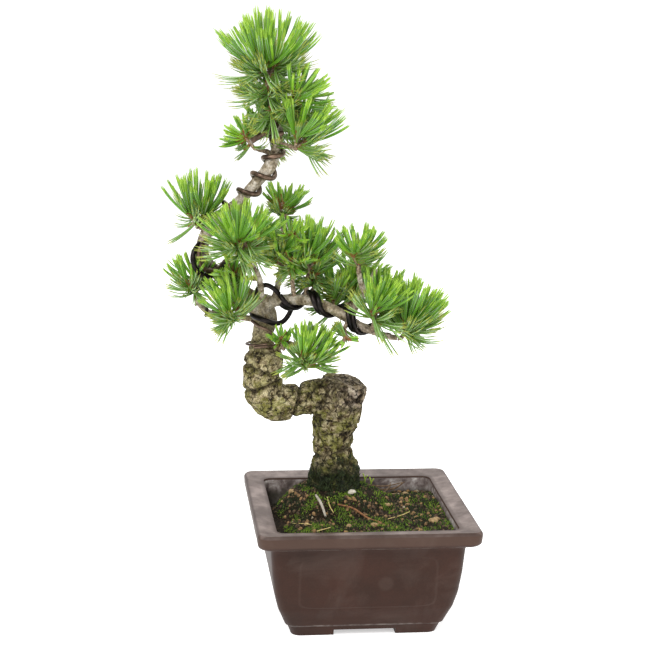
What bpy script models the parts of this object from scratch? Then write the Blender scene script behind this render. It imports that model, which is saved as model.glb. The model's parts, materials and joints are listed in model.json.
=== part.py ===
"""Japanese white pine bonsai, 45 cm tall, growing in its square brown stoneware pot.

The tree is worked out around the middle of the pot, in millimetres, and moved at the end so that
the origin lies under the middle of the whole plant, on the surface the pot stands on.
+X is the viewer's right, +Y runs away from the viewer and +Z is up.
"""
import itertools
import math
import random

import bmesh
import bpy
import numpy as np
from mathutils import Quaternion, Vector

MM = 0.001
GAP = 0.3

# Pot: corners, feet, floor, and heights with half widths outside and inside
POT_CORNER = 7.0
RIM_INNER_HALF = 65.5
FOOT_HALF = 53.0
FOOT_HEIGHT = 4.5
FOOT_ARCH = 45.0
FOOT_WIDTH = 13.0
POT_FLOOR_Z = 12.0
INNER_CORNER = 6.0
BODY_PROFILE = ((0.0, 53.0), (9.0, 56.8), (16.0, 60.5), (22.5, 63.3), (34.0, 66.2),
                (50.0, 68.4), (68.0, 69.8), (71.5, 71.2))
RIM_PROFILE = ((72.5, 77.5), (74.5, 79.6), (82.4, 80.0), (84.2, 78.4))
INNER_PROFILE = ((81.8, 65.5), (40.0, 61.5), (16.0, 54.5), (12.0, 50.5))

# Soil: the level at the wall, the mound under the trunk
SOIL_LEVEL = 74.0
SOIL_TILT = 3.5
MOUND_TOP_RADIUS = 20.5
MOUND_FOOT_RADIUS = 52.0
SOIL_RINGS = (1.0, 0.8, 0.6, 0.42)

# Trunk: landmarks as x, y, z and radius
TRUNK_FOOT_Z = 86.0
STUMP_LINE = ((-14.0, 31.0, 86.0, 18.6), (-14.0, 31.0, 99.0, 18.4), (-15.6, 30.5, 112.0, 15.2),
              (-16.0, 30.0, 126.0, 15.2), (-13.0, 29.0, 142.0, 18.0), (-9.5, 27.5, 158.0, 19.6),
              (-7.5, 27.0, 168.0, 18.6), (-6.5, 26.5, 174.5, 14.0))
LEDGE_LINE = ((-12.0, 28.0, 159.0, 15.5), (-30.0, 24.5, 158.0, 13.2), (-43.0, 21.0, 157.0, 11.6),
              (-56.0, 18.0, 154.5, 13.8), (-68.0, 16.0, 158.0, 12.6), (-75.0, 15.5, 162.0, 8.0))
LEADER_LINE = ((-66.0, 16.0, 151.5, 8.0), (-69.5, 15.5, 162.0, 14.0), (-71.0, 15.0, 177.0, 14.4),
               (-70.0, 16.0, 191.0, 14.0), (-71.0, 17.0, 198.5, 9.8), (-71.0, 17.0, 206.0, 7.4),
               (-70.0, 18.0, 222.0, 9.2), (-84.0, 20.0, 237.0, 5.7), (-101.0, 23.5, 248.5, 5.1),
               (-113.0, 23.0, 261.0, 4.8), (-115.0, 20.0, 273.0, 4.5), (-108.0, 14.0, 290.0, 4.2),
               (-91.0, 7.0, 305.0, 3.9), (-76.5, 2.5, 322.0, 4.1), (-68.0, 1.0, 333.0, 4.8),
               (-64.0, 1.0, 346.0, 3.2), (-62.0, 3.0, 358.0, 2.8), (-69.0, 1.0, 379.0, 2.2))
PRUNED_STUB = ((-70.0, 16.0, 222.0, 4.2), (-68.5, 15.0, 236.5, 4.4))
TRUNK_SIDES = 9
TRUNK_STEP = 8.5

# Boughs and twigs that carry the masses of needles
BOUGHS = {
    "right_bough": ((-69.0, 16.0, 229.0, 4.8), (-60.0, 10.5, 233.5, 4.3), (-38.0, 2.0, 235.0, 3.9),
                    (-19.0, -6.5, 228.5, 3.6), (-3.0, -11.0, 219.5, 3.1), (11.0, -14.0, 213.5, 2.5),
                    (24.0, -17.0, 211.0, 1.9)),
    "fork_twig": ((-8.5, -8.5, 226.0, 2.7), (-3.5, -7.0, 237.0, 2.5), (0.0, -6.0, 242.5, 2.5),
                  (-2.5, -6.5, 250.0, 2.0), (-4.0, -7.0, 257.0, 1.8)),
    "upper_twig": ((-63.0, 12.0, 234.0, 2.6), (-59.5, 12.0, 250.0, 2.2), (-57.0, 15.0, 268.0, 2.0),
                   (-57.0, 20.0, 286.0, 1.7)),
    "front_twig": ((-72.0, 17.0, 229.0, 2.8), (-73.5, 4.0, 243.0, 2.4), (-77.0, -6.0, 256.0, 2.1),
                   (-86.0, -16.0, 268.0, 1.8)),
    "left_twig": ((-74.0, 20.0, 217.5, 2.8), (-90.0, 26.0, 218.5, 2.3), (-108.0, 27.5, 220.5, 2.2),
                  (-117.0, 24.0, 228.0, 2.0), (-119.0, 22.5, 233.5, 1.8)),
    "low_twig": ((-64.0, 13.0, 196.0, 3.0), (-53.0, 3.0, 203.0, 2.4), (-47.0, -6.0, 199.5, 2.2),
                 (-45.0, -10.0, 195.0, 1.9)),
}
BOUGH_PARENTS = {"right_bough": ("leader", "stub"), "fork_twig": ("right_bough",),
                 "upper_twig": ("leader", "stub", "right_bough"),
                 "front_twig": ("leader", "stub", "right_bough"),
                 "left_twig": ("leader",), "low_twig": ("leader",)}
CUT_PRONG = ((0.0, -6.0, 242.5, 2.2), (5.0, -3.5, 249.0, 1.8), (9.0, -1.0, 258.5, 1.9))
BOUGH_SIDES = 8
TWIG_SIDES = 5
BOUGH_STEP = 9.0
PARENT_SIDES = {"leader": TRUNK_SIDES, "stub": TWIG_SIDES, "right_bough": BOUGH_SIDES}

# Training wires: radius of the wire, its host, where it starts and ends along it and its turns
WIRE_POINTS_A_TURN = 8
WIRE_SIDES = 5
WIRES = {
    "crown_wire": (1.9, "leader", 0.655, 0.93, 4.4),
    "bough_wire": (1.9, "right_bough", 0.14, 0.84, 3.4),
    "left_twig_wire": (1.0, "left_twig", 0.34, 0.9, 2.6),
    "ring_wire": (0.9, "leader", 0.1765, 0.182, 1.12),
}
WIRE_TRIAL_ANGLES = 24
WIRE_TRIAL_TURNS = (0.0, 0.25, -0.25, 0.5, -0.5)
WIRE_TRIAL_ENDS = (0.0, -0.02, -0.04, -0.06)

# Needles: each spray stands for a few bundles of five
SPRAY_ROOT_RADIUS = 0.8
SPRAY_BELLY_RADIUS = 1.6
SPRAY_BELLY_AT = 0.66
SPRAY_CLEAR = 0.35
SHOOT_LENGTH = 9.0
SHOOT_RADIUS = 2.0
STEM_RADIUS = 1.6
STEM_SIDES = 5
GOLDEN_ANGLE = math.pi * (3.0 - math.sqrt(5.0))
TRIES = 24

# Masses: host limb, from its tip or its side, base of the needles, way they aim, reach,
# half angle of the fan in degrees, shoots, sprays in the fan and low sprays round its foot
MASSES = {
    "apex_needles": ("leader", "tip", (-70, 2, 394), (-0.05, 0.0, 1.0), 54, 52, 4, 30, 7),
    "crown_side_needles": ("leader", "side", (-55, -6, 374), (0.62, -0.2, 0.72), 38, 42, 2, 12, 2),
    "crown_right_needles": ("leader", "side", (-51, -8, 346), (0.42, -0.12, 0.9), 46, 46, 3, 18, 3),
    "crown_left_needles": ("leader", "side", (-79, 11, 344), (-0.62, 0.1, 0.75), 30, 48, 1, 10, 2),
    "crown_back_needles": ("leader", "side", (-66, 17, 351), (0.05, 0.72, 0.68), 38, 55, 2, 13, 3),
    "left_top_needles": ("leader", "side", (-119, 14, 287), (0.03, -0.06, 1.0), 46, 44, 3, 18, 4),
    "front_needles": ("front_twig", "tip", (-90, -20, 273), (-0.03, -0.2, 1.0), 43, 52, 3, 20, 6),
    "upper_needles": ("upper_twig", "tip", (-57, 22, 291), (0.12, 0.1, 1.0), 32, 46, 2, 12, 3),
    "upper_side_needles": ("upper_twig", "side", (-58, 4, 276), (0.55, -0.5, 0.65), 26, 52, 1, 8, 2),
    "middle_needles": ("right_bough", "side", (-39, 8, 256), (0.16, 0.05, 1.0), 45, 38, 3, 16, 4),
    "centre_needles": ("right_bough", "side", (-52, -1, 255), (0.02, -0.35, 0.9), 24, 62, 1, 8, 2),
    "left_tip_needles": ("left_twig", "tip", (-120, 22, 237), (-0.2, 0.0, 1.0), 36, 40, 2, 12, 4),
    "left_low_needles": ("leader", "side", (-91, -8, 223), (-0.42, -0.15, 0.9), 42, 36, 2, 14, 4),
    "shade_needles": ("front_twig", "side", (-86, 3, 252), (-0.75, -0.1, 0.35), 27, 58, 1, 8, 2),
    "right_top_needles": ("fork_twig", "tip", (-4, -7, 261), (0.0, 0.0, 1.0), 36, 44, 2, 14, 3),
    "right_back_needles": ("right_bough", "side", (-18, 18, 226), (0.12, 0.25, 1.0), 39, 48, 2, 14, 2),
    "right_front_needles": ("right_bough", "side", (5, -27, 224), (0.3, -0.2, 1.0), 42, 38, 2, 14, 3),
    "bough_tip_needles": ("right_bough", "tip", (28, -17.5, 213), (0.42, -0.03, 0.9), 49, 34, 3, 18, 5),
    "bough_back_needles": ("right_bough", "side", (17, 8, 226), (0.25, 0.35, 0.9), 38, 46, 2, 12, 2),
    "low_tip_needles": ("low_twig", "tip", (-42.5, -14, 188.5), (0.3, -0.12, 0.92), 39, 38, 3, 17, 5),
    "low_side_needles": ("low_twig", "side", (-57, 0, 200), (-0.2, -0.5, 0.8), 20, 50, 1, 8, 1),
    "back_needles": ("leader", "side", (-78, 48, 262), (0.05, 0.5, 0.85), 42, 54, 2, 16, 4),
    "right_rear_needles": ("right_bough", "side", (0, 32, 236), (0.2, 0.6, 0.75), 40, 52, 2, 14, 3),
}


def clear_scene():
    for item in list(bpy.data.objects):
        bpy.data.objects.remove(item)


def linear(hex_colour):
    """sRGB hex colour as a linear RGBA colour."""
    channels = [int(hex_colour[i:i + 2], 16) / 255.0 for i in (1, 3, 5)]
    return [c / 12.92 if c <= 0.04045 else ((c + 0.055) / 1.055) ** 2.4 for c in channels] + [1.0]


def material(name, hex_colour, roughness, metallic=0.0):
    made = bpy.data.materials.new(name)
    made.use_nodes = True
    shader = made.node_tree.nodes["Principled BSDF"]
    shader.inputs["Base Color"].default_value = linear(hex_colour)
    shader.inputs["Roughness"].default_value = roughness
    shader.inputs["Metallic"].default_value = metallic
    return made


def mesh_object(name, points, faces, made_of=None, round_edges=False):
    """Object in the scene from points in millimetres."""
    mesh = bpy.data.meshes.new(name)
    mesh.from_pydata([Vector(p) * MM for p in points], [], faces)
    if round_edges:
        mesh.shade_smooth()
        mesh.set_sharp_from_angle(angle=math.radians(40.0))
    if made_of:
        mesh.materials.append(made_of)
    item = bpy.data.objects.new(name, mesh)
    bpy.context.scene.collection.objects.link(item)
    return item


def loft(rings):
    """Closed skin over rings of equal count: the first ring is the bottom or the start."""
    count = len(rings[0])
    points = [p for ring in rings for p in ring]
    faces = [tuple(reversed(range(count)))]
    for row in range(len(rings) - 1):
        low = row * count
        for i in range(count):
            j = (i + 1) % count
            faces.append((low + i, low + j, low + count + j, low + count + i))
    last = (len(rings) - 1) * count
    faces.append(tuple(range(last, last + count)))
    return points, faces


def curve_through(landmarks, step):
    """Smooth line through landmarks of x, y, z and radius, with a point about every step."""
    marks = [np.array(m, float) for m in landmarks]
    marks = [2 * marks[0] - marks[1]] + marks + [2 * marks[-1] - marks[-2]]
    fine = []
    for a, b, c, d in zip(marks, marks[1:], marks[2:], marks[3:]):
        for t in np.linspace(0.0, 1.0, 16, endpoint=False):
            fine.append(0.5 * (2 * b + (c - a) * t + (2 * a - 5 * b + 4 * c - d) * t * t
                               + (3 * b - a - 3 * c + d) * t ** 3))
    fine.append(marks[-2])
    fine = np.array(fine)
    along = np.concatenate([[0.0], np.cumsum(np.linalg.norm(np.diff(fine[:, :3], axis=0), axis=1))])
    places = np.linspace(0.0, along[-1], max(3, round(along[-1] / step) + 1))
    return np.column_stack([np.interp(places, along, fine[:, k]) for k in range(4)])


def frames_along(line):
    """Unit side and up vectors at each point of a line, carried along without twist."""
    tangents = np.gradient(line[:, :3], axis=0)
    tangents = [Vector(t).normalized() for t in tangents]
    side = tangents[0].orthogonal().normalized()
    frames = []
    for before, now in zip([tangents[0]] + tangents, tangents):
        side = before.rotation_difference(now) @ side
        side = (side - now * side.dot(now)).normalized()
        frames.append((side.copy(), now.cross(side)))
    return frames


def tube(line, sides):
    """Round limb along a line of x, y, z and radius."""
    rings = []
    for point, (side, up) in zip(line, frames_along(line)):
        centre = Vector(point[:3])
        radius = float(point[3])
        turns = [2 * math.pi * i / sides for i in range(sides)]
        rings.append([centre + (side * math.cos(a) + up * math.sin(a)) * radius for a in turns])
    return loft(rings)


def along_line(line, place):
    """Point and radius at a place from 0 at the start of a line to 1 at its end."""
    steps = np.linalg.norm(np.diff(line[:, :3], axis=0), axis=1)
    along = np.concatenate([[0.0], np.cumsum(steps)])
    return np.array([np.interp(place * along[-1], along, line[:, k]) for k in range(4)])


def join(keeper, others, solver="EXACT", operation="UNION"):
    """Boolean of one object with a list of others, applied, and the others removed."""
    group = bpy.data.collections.new("operands")
    for item in others:
        group.objects.link(item)
    boolean = keeper.modifiers.new("join", "BOOLEAN")
    boolean.operation = operation
    boolean.solver = solver
    boolean.operand_type = "COLLECTION"
    boolean.collection = group
    seen = keeper.evaluated_get(bpy.context.evaluated_depsgraph_get())
    joined = bpy.data.meshes.new_from_object(seen)
    keeper.modifiers.remove(boolean)
    keeper.data = joined
    for item in others:
        bpy.data.objects.remove(item)
    bpy.data.collections.remove(group)


def rounded_square(half, corner, z, between=1, corner_points=3):
    """Corner arcs of a square ring, with the straight sides split into equal parts."""
    points = []
    for quarter in range(4):
        turn = quarter * math.pi / 2
        spread = [turn + math.pi / 2 * k / (corner_points - 1) for k in range(corner_points)]
        middle = Vector((half - corner, half - corner, 0.0))
        middle.rotate(Quaternion((0, 0, 1), turn))
        arc = [middle + corner * Vector((math.cos(a), math.sin(a), 0.0)) for a in spread]
        points += arc
        after = Vector((-(half - corner), half, 0.0))
        after.rotate(Quaternion((0, 0, 1), turn))
        points += [arc[-1].lerp(after, k / between) for k in range(1, between)]
    return [Vector((p.x, p.y, z)) for p in points]


def build_pot(made_of):
    """Square pot: flaring body, overhanging rim that slopes inward, four corner feet."""
    outer = BODY_PROFILE + RIM_PROFILE
    rings = [rounded_square(half, POT_CORNER, z) for z, half in outer]
    rings += [rounded_square(half, INNER_CORNER, z) for z, half in INNER_PROFILE]
    pot = mesh_object("pot", *loft(rings), made_of, round_edges=True)
    reach = FOOT_HALF + 10.0
    cutters = []
    for name, wide, deep in (("arch_x", FOOT_ARCH / 2, reach), ("arch_y", reach, FOOT_ARCH / 2),
                             ("under", FOOT_HALF - FOOT_WIDTH, FOOT_HALF - FOOT_WIDTH)):
        corners = [(-wide, -deep), (wide, -deep), (wide, deep), (-wide, deep)]
        box = [[Vector((x, y, z)) for x, y in corners] for z in (-5.0, FOOT_HEIGHT)]
        cutters.append(mesh_object(name, *loft(box)))
    join(pot, cutters, operation="DIFFERENCE")


def inner_half(z):
    heights = [p[0] for p in reversed(INNER_PROFILE)]
    halves = [p[1] for p in reversed(INNER_PROFILE)]
    return float(np.interp(z, heights, halves))


def soil_height(x, y):
    """Uneven level, lowest at the back left, rising to a mound under the trunk."""
    level = SOIL_LEVEL + SOIL_TILT * (x - 0.25 * y) / RIM_INNER_HALF
    level += 0.7 * math.sin(0.17 * x + 0.6) * math.sin(0.21 * y + 1.1)
    distance = math.hypot(x - STUMP_LINE[0][0], y - STUMP_LINE[0][1])
    share = (MOUND_FOOT_RADIUS - distance) / (MOUND_FOOT_RADIUS - MOUND_TOP_RADIUS)
    share = min(1.0, max(0.0, share))
    return level + (TRUNK_FOOT_Z - GAP - level) * share * share * (3.0 - 2.0 * share)


def build_soil(made_of):
    """Soil that fills the pot, 0.3 mm clear of it, with a small flat where the trunk stands."""
    centre = Vector((STUMP_LINE[0][0], STUMP_LINE[0][1], 0.0))
    rings = []
    for z, half in reversed(INNER_PROFILE[1:]):
        rings.append(rounded_square(half - GAP, INNER_CORNER, z + (GAP if z == POT_FLOOR_Z else 0), 3))
    wall = rounded_square(inner_half(SOIL_LEVEL) - GAP, INNER_CORNER, 0.0, 3)
    for share in SOIL_RINGS:
        ring = []
        for point in wall:
            spot = centre.lerp(point, share)
            ring.append(Vector((spot.x, spot.y, soil_height(spot.x, spot.y))))
        if share == 1.0:
            ring = [Vector((p.x, p.y, min(p.z, SOIL_LEVEL + 2.0))) for p in ring]
            slope = [(inner_half(p.z) - GAP) / (inner_half(SOIL_LEVEL) - GAP) for p in ring]
            ring = [Vector((p.x * s, p.y * s, p.z)) for p, s in zip(ring, slope)]
        rings.append(ring)
    top = []
    for point in wall:
        way = (point - centre).normalized() * MOUND_TOP_RADIUS
        top.append(Vector((centre.x + way.x, centre.y + way.y, TRUNK_FOOT_Z - GAP)))
    rings.append(top)
    return mesh_object("soil", *loft(rings), made_of, round_edges=True)


def build_trunk(lines, made_of):
    """Stump, ledge and leader joined into one whole trunk, with the round pruned stub."""
    trunk = mesh_object("trunk", *tube(lines["stump"], TRUNK_SIDES), made_of, round_edges=True)
    parts = [mesh_object(name, *tube(lines[name], TRUNK_SIDES)) for name in ("ledge", "leader")]
    parts.append(mesh_object("stub", *tube(lines["stub"], TWIG_SIDES)))
    join(trunk, parts)


def build_bough(name, lines, made_of):
    """One tapering limb, cut 0.3 mm clear of the limb that it grows from."""
    sides = BOUGH_SIDES if name == "right_bough" else TWIG_SIDES
    bough = mesh_object(name, *tube(lines[name], sides), made_of, round_edges=True)
    if name == "fork_twig":
        join(bough, [mesh_object("prong", *tube(curve_through(CUT_PRONG, BOUGH_STEP), TWIG_SIDES))])
    cutters = []
    for parent in BOUGH_PARENTS[name]:
        wide = lines[parent].copy()
        wide[:, 3] += GAP * 1.15
        for end, next_to in ((0, 1), (-1, -2)):
            away = wide[end, :3] - wide[next_to, :3]
            wide[end, :3] += away / np.linalg.norm(away) * GAP * 2
        cutters.append(mesh_object("clearance", *tube(wide, PARENT_SIDES[parent])))
    join(bough, cutters, operation="DIFFERENCE")
    keep_largest(bough)


def keep_largest(item):
    """Drop scraps that a cut left behind: only the largest connected piece stays."""
    shape = bmesh.new()
    shape.from_mesh(item.data)
    left = set(shape.verts)
    pieces = []
    while left:
        seed = left.pop()
        piece = {seed}
        edge_of = [seed]
        while edge_of:
            vert = edge_of.pop()
            for edge in vert.link_edges:
                other = edge.other_vert(vert)
                if other in left:
                    left.discard(other)
                    piece.add(other)
                    edge_of.append(other)
        pieces.append(piece)
    pieces.sort(key=len)
    for piece in pieces[:-1]:
        bmesh.ops.delete(shape, geom=list(piece), context="VERTS")
    shape.to_mesh(item.data)
    shape.free()


def wire_line(host, radius, start, end, turns, phase):
    """Coil of wire round a limb, pushed clear of the bark where the limb bends."""
    count = max(8, round(turns * WIRE_POINTS_A_TURN))
    centres = np.array([along_line(host, start + (end - start) * i / count) for i in range(count + 1)])
    sagitta = 1.0 / math.cos(math.pi / WIRE_POINTS_A_TURN)
    points = []
    for i, (centre, (side, up)) in enumerate(zip(centres, frames_along(centres))):
        angle = phase + 2 * math.pi * turns * i / count
        way = side * math.cos(angle) + up * math.sin(angle)
        points.append(Vector(centre[:3]) + way * float((centre[3] + radius + GAP) * sagitta))
    for point in points:
        gaps = np.linalg.norm(host[:, :3] - np.array(point), axis=1) - host[:, 3]
        nearest = int(np.argmin(gaps))
        short = radius + 2 * GAP - gaps[nearest]
        if short > 0:
            point += (point - Vector(host[nearest, :3])).normalized() * float(short)
    return np.array([[p.x, p.y, p.z, radius] for p in points])


def clearest_wire(host_name, host, radius, start, end, turns, space):
    """The coil, turned round its limb and tightened a little, that passes the twigs most freely."""
    best = None
    skip = (host_name, "ledge") if host_name == "leader" else (host_name, "leader")
    for more, less in itertools.product(WIRE_TRIAL_TURNS, WIRE_TRIAL_ENDS):
        for k in range(WIRE_TRIAL_ANGLES):
            phase = 2 * math.pi * k / WIRE_TRIAL_ANGLES
            line = wire_line(host, radius, start, end + less, turns + more, phase)
            room = space.clearance(line, skip)
            if best is None or room > best[0]:
                best = (room, line)
        if best[0] > 2 * GAP:
            break
    return best[1]


def segment_gaps(start, end, starts, ends):
    """Shortest distance from one segment to each of many segments."""
    d1 = end - start
    d2 = ends - starts
    r = start - starts
    a = d1 @ d1
    e = np.einsum("ij,ij->i", d2, d2)
    f = np.einsum("ij,ij->i", d2, r)
    c = r @ d1
    b = d2 @ d1
    denominator = a * e - b * b
    s = np.clip((b * f - c * e) / np.where(denominator > 1e-9, denominator, 1.0), 0.0, 1.0)
    s = np.where(denominator > 1e-9, s, 0.0)
    t = (b * s + f) / e
    t_clipped = np.clip(t, 0.0, 1.0)
    s = np.where(t != t_clipped, np.clip((b * t_clipped - c) / a, 0.0, 1.0), s)
    apart = (start + s[:, None] * d1) - (starts + t_clipped[:, None] * d2)
    return np.linalg.norm(apart, axis=1)


class Space:
    """What already stands in the crown, as capsules with an owner."""

    def __init__(self):
        self.rows = []
        self.owners = []

    def add(self, start, end, radius, owner):
        self.rows.append([*start, *end, radius])
        self.owners.append(owner)

    def add_line(self, line, owner):
        for a, b in zip(line, line[1:]):
            self.add(a[:3], b[:3], max(a[3], b[3]), owner)

    def clearance(self, line, skip):
        """Smallest gap between a line's tube and everything but the owners to skip."""
        rows = np.array([row for row, owner in zip(self.rows, self.owners) if owner not in skip])
        gaps = [segment_gaps(a[:3], b[:3], rows[:, 0:3], rows[:, 3:6]) - rows[:, 6] - a[3]
                for a, b in zip(line, line[1:])]
        return float(np.min(gaps))

    def is_free(self, start, end, radius, skip):
        rows = np.array([row for row, owner in zip(self.rows, self.owners) if owner not in skip])
        gaps = segment_gaps(np.array(start), np.array(end), rows[:, 0:3], rows[:, 3:6])
        return bool(np.all(gaps > rows[:, 6] + radius + SPRAY_CLEAR))


def stem_line(host, place, base):
    """Stem from 0.3 mm off its host limb, at its tip or nearest side, to the base of the needles."""
    target = Vector(base)
    if place == "tip":
        root = host[-1]
        way = (Vector(host[-1, :3]) - Vector(host[-2, :3])).normalized()
        start = Vector(root[:3]) + way * GAP
        bend = start + way * (target - start).length * 0.5
    else:
        fine = np.array([along_line(host, k / 200.0) for k in range(200)])
        nearest = int(np.argmin(np.linalg.norm(fine[:, :3] - np.array(base), axis=1)))
        root = fine[nearest]
        axis = Vector(fine[min(199, nearest + 2), :3]) - Vector(fine[max(0, nearest - 2), :3])
        way = target - Vector(root[:3])
        way = (way - way.project(axis)).normalized()
        start = Vector(root[:3]) + way * float(root[3] + GAP)
        bend = start + way * (target - start).length * 0.45
    steps = []
    for t in (0.0, 0.33, 0.67, 1.0):
        spot = start.lerp(bend, t).lerp(bend.lerp(target, t), t)
        steps.append([*spot, STEM_RADIUS * (1.05 - 0.2 * t)])
    return np.array(steps)


def shoots_of(seed, base, aim, count):
    """Short shoots that branch from the end of the stem, each as start, way and length."""
    draw = random.Random(seed)
    aim = Vector(aim).normalized()
    side = aim.orthogonal().normalized()
    shoots = []
    for i in range(count):
        lean = 0.0 if count == 1 else math.radians(30.0)
        turn = Quaternion(aim, GOLDEN_ANGLE * i + draw.uniform(0.0, 1.0)) @ side
        way = (aim * math.cos(lean) + turn * math.sin(lean)).normalized()
        shoots.append((Vector(base), way, SHOOT_LENGTH * draw.uniform(0.85, 1.15)))
    return shoots


def spray_points(root, tip, roll):
    """Slim three-sided spray: narrow root, belly, pointed tip."""
    axis = (tip - root).normalized()
    side = Quaternion(axis, roll) @ axis.orthogonal().normalized()
    other = axis.cross(side)
    belly = root.lerp(tip, SPRAY_BELLY_AT)
    points = []
    for centre, radius in ((root, SPRAY_ROOT_RADIUS), (belly, SPRAY_BELLY_RADIUS)):
        for k in range(3):
            angle = 2 * math.pi * k / 3
            points.append(centre + radius * (math.cos(angle) * side + math.sin(angle) * other))
    points.append(tip)
    faces = [(2, 1, 0)]
    for k in range(3):
        j = (k + 1) % 3
        faces += [(k, j, j + 3, k + 3), (k + 3, j + 3, 6)]
    return points, faces


def fan_of(seed, aim, reach, spread, sprays, low):
    """Aim, side, and each spray's lean, turn and length: a seeded fan, with shorter low sprays."""
    draw = random.Random(seed)
    aim = Vector(aim).normalized()
    side = aim.orthogonal().normalized()
    ways = []
    for i in range(sprays + low):
        if i < sprays:
            lean = math.radians(spread) * math.sqrt((i + 0.5) / sprays)
            length = reach * draw.uniform(0.9, 1.0)
        else:
            lean = math.radians(draw.uniform(spread + 12.0, 108.0))
            length = reach * draw.uniform(0.5, 0.7)
        turn = GOLDEN_ANGLE * i + draw.uniform(-0.25, 0.25)
        ways.append((lean, turn, length))
    return aim, side, ways


def build_mass(name, row, lines, space, made_of):
    """One mass of needles: stem, shoots and sprays that keep clear of all that stands there."""
    base, aim, reach, spread = row[2:6]
    sprays, low = row[7:]
    shoots = lines[name + " shoots"]
    draw = random.Random(name + " sprays")
    mass = mesh_object(name, *tube(lines[name], STEM_SIDES), made_of)
    parts = []
    for start, way, length in shoots:
        back = start - way * STEM_RADIUS
        marks = [[*back, 1.2], [*(start + way * length * 0.4), SHOOT_RADIUS],
                 [*(start + way * length), 0.9]]
        parts.append(mesh_object("shoot", *tube(np.array(marks), STEM_SIDES)))
    aim, side, ways = fan_of(name, aim, reach, spread, sprays, low)
    for lean, turn, length in ways:
        for attempt in range(TRIES):
            wander = 0.05 * attempt
            tilt = max(0.0, lean + draw.uniform(-wander, wander))
            around = turn + draw.uniform(-wander, wander) * 2.0
            out = Quaternion(aim, around) @ side
            way = aim * math.cos(tilt) + out * math.sin(tilt)
            tip = Vector(base) + way * length * (1.0 - 0.01 * attempt)
            shoot = max(shoots, key=lambda s: s[1].dot(way))
            share = 1.0 - tilt / math.radians(80.0) + draw.uniform(-0.2, 0.2)
            root = shoot[0] + shoot[1] * shoot[2] * max(0.1, min(0.85, share))
            across = way - way.project(shoot[1])
            root += across.normalized() * SHOOT_RADIUS * 0.25
            clear_root = root.lerp(tip, 0.04)
            own_root = root.lerp(tip, 0.3)
            if (space.is_free(clear_root, tip, SPRAY_BELLY_RADIUS, (name,))
                    and space.is_free(own_root, tip, SPRAY_BELLY_RADIUS, (name + " stem",))):
                parts.append(mesh_object("spray", *spray_points(root, tip, draw.uniform(0.0, 2.0))))
                space.add(own_root, tip, SPRAY_BELLY_RADIUS, name)
                break
    join(mass, parts)


def build_all():
    clear_scene()
    stoneware = material("brown stoneware", "#4b3b34", 0.5)
    earth = material("soil", "#2c2419", 1.0)
    bark = material("pine bark", "#8a8069", 0.9)
    anodised = material("brown anodised aluminium", "#33241c", 0.4, 1.0)
    green = material("pine needles", "#6f9b3a", 0.6)

    lines = {"stump": curve_through(STUMP_LINE, TRUNK_STEP),
             "ledge": curve_through(LEDGE_LINE, TRUNK_STEP),
             "leader": curve_through(LEADER_LINE, TRUNK_STEP),
             "stub": curve_through(PRUNED_STUB, TRUNK_STEP)}
    for name, marks in BOUGHS.items():
        lines[name] = curve_through(marks, BOUGH_STEP)

    build_pot(stoneware)
    build_soil(earth)
    build_trunk(lines, bark)
    for name in BOUGHS:
        build_bough(name, lines, bark)

    space = Space()
    for name in ("stump", "ledge", "leader"):
        space.add_line(lines[name], name)
    for name in BOUGHS:
        space.add_line(lines[name], name)
    space.add_line(curve_through(CUT_PRONG, BOUGH_STEP), "fork_twig")
    for name, row in MASSES.items():
        lines[name] = stem_line(lines[row[0]], row[1], row[2])
        lines[name + " shoots"] = shoots_of(name, row[2], row[3], row[6])
        space.add_line(lines[name], name)
        for start, way, length in lines[name + " shoots"]:
            space.add(start, start + way * length, SHOOT_RADIUS, name)
    for name, (radius, host, start, end, turns) in WIRES.items():
        line = clearest_wire(host, lines[host], radius, start, end, turns, space)
        mesh_object(name, *tube(line, WIRE_SIDES), anodised, round_edges=True)
        space.add_line(line, name)
    for name, row in MASSES.items():
        build_mass(name, row, lines, space, green)

    bpy.context.view_layer.update()
    corners = np.array([item.matrix_world @ Vector(c) for item in bpy.data.objects
                        for c in item.bound_box])
    low, high = corners.min(axis=0), corners.max(axis=0)
    for item in bpy.data.objects:
        item.location -= Vector(((low[0] + high[0]) / 2, (low[1] + high[1]) / 2, low[2]))


build_all()
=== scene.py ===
"""Japanese white pine bonsai: the finish of the pot, bark, wire, needles and moss, over the frame.

Lengths are in millimetres and turned into metres where a mesh is made. The tree's own lines are
measured from the middle of the pot, as in the part's source, and set down where the pot stands.
"""
import json
import math
import random

import bmesh
import bpy
import numpy as np
from mathutils import Matrix, Quaternion, Vector, noise

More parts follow.
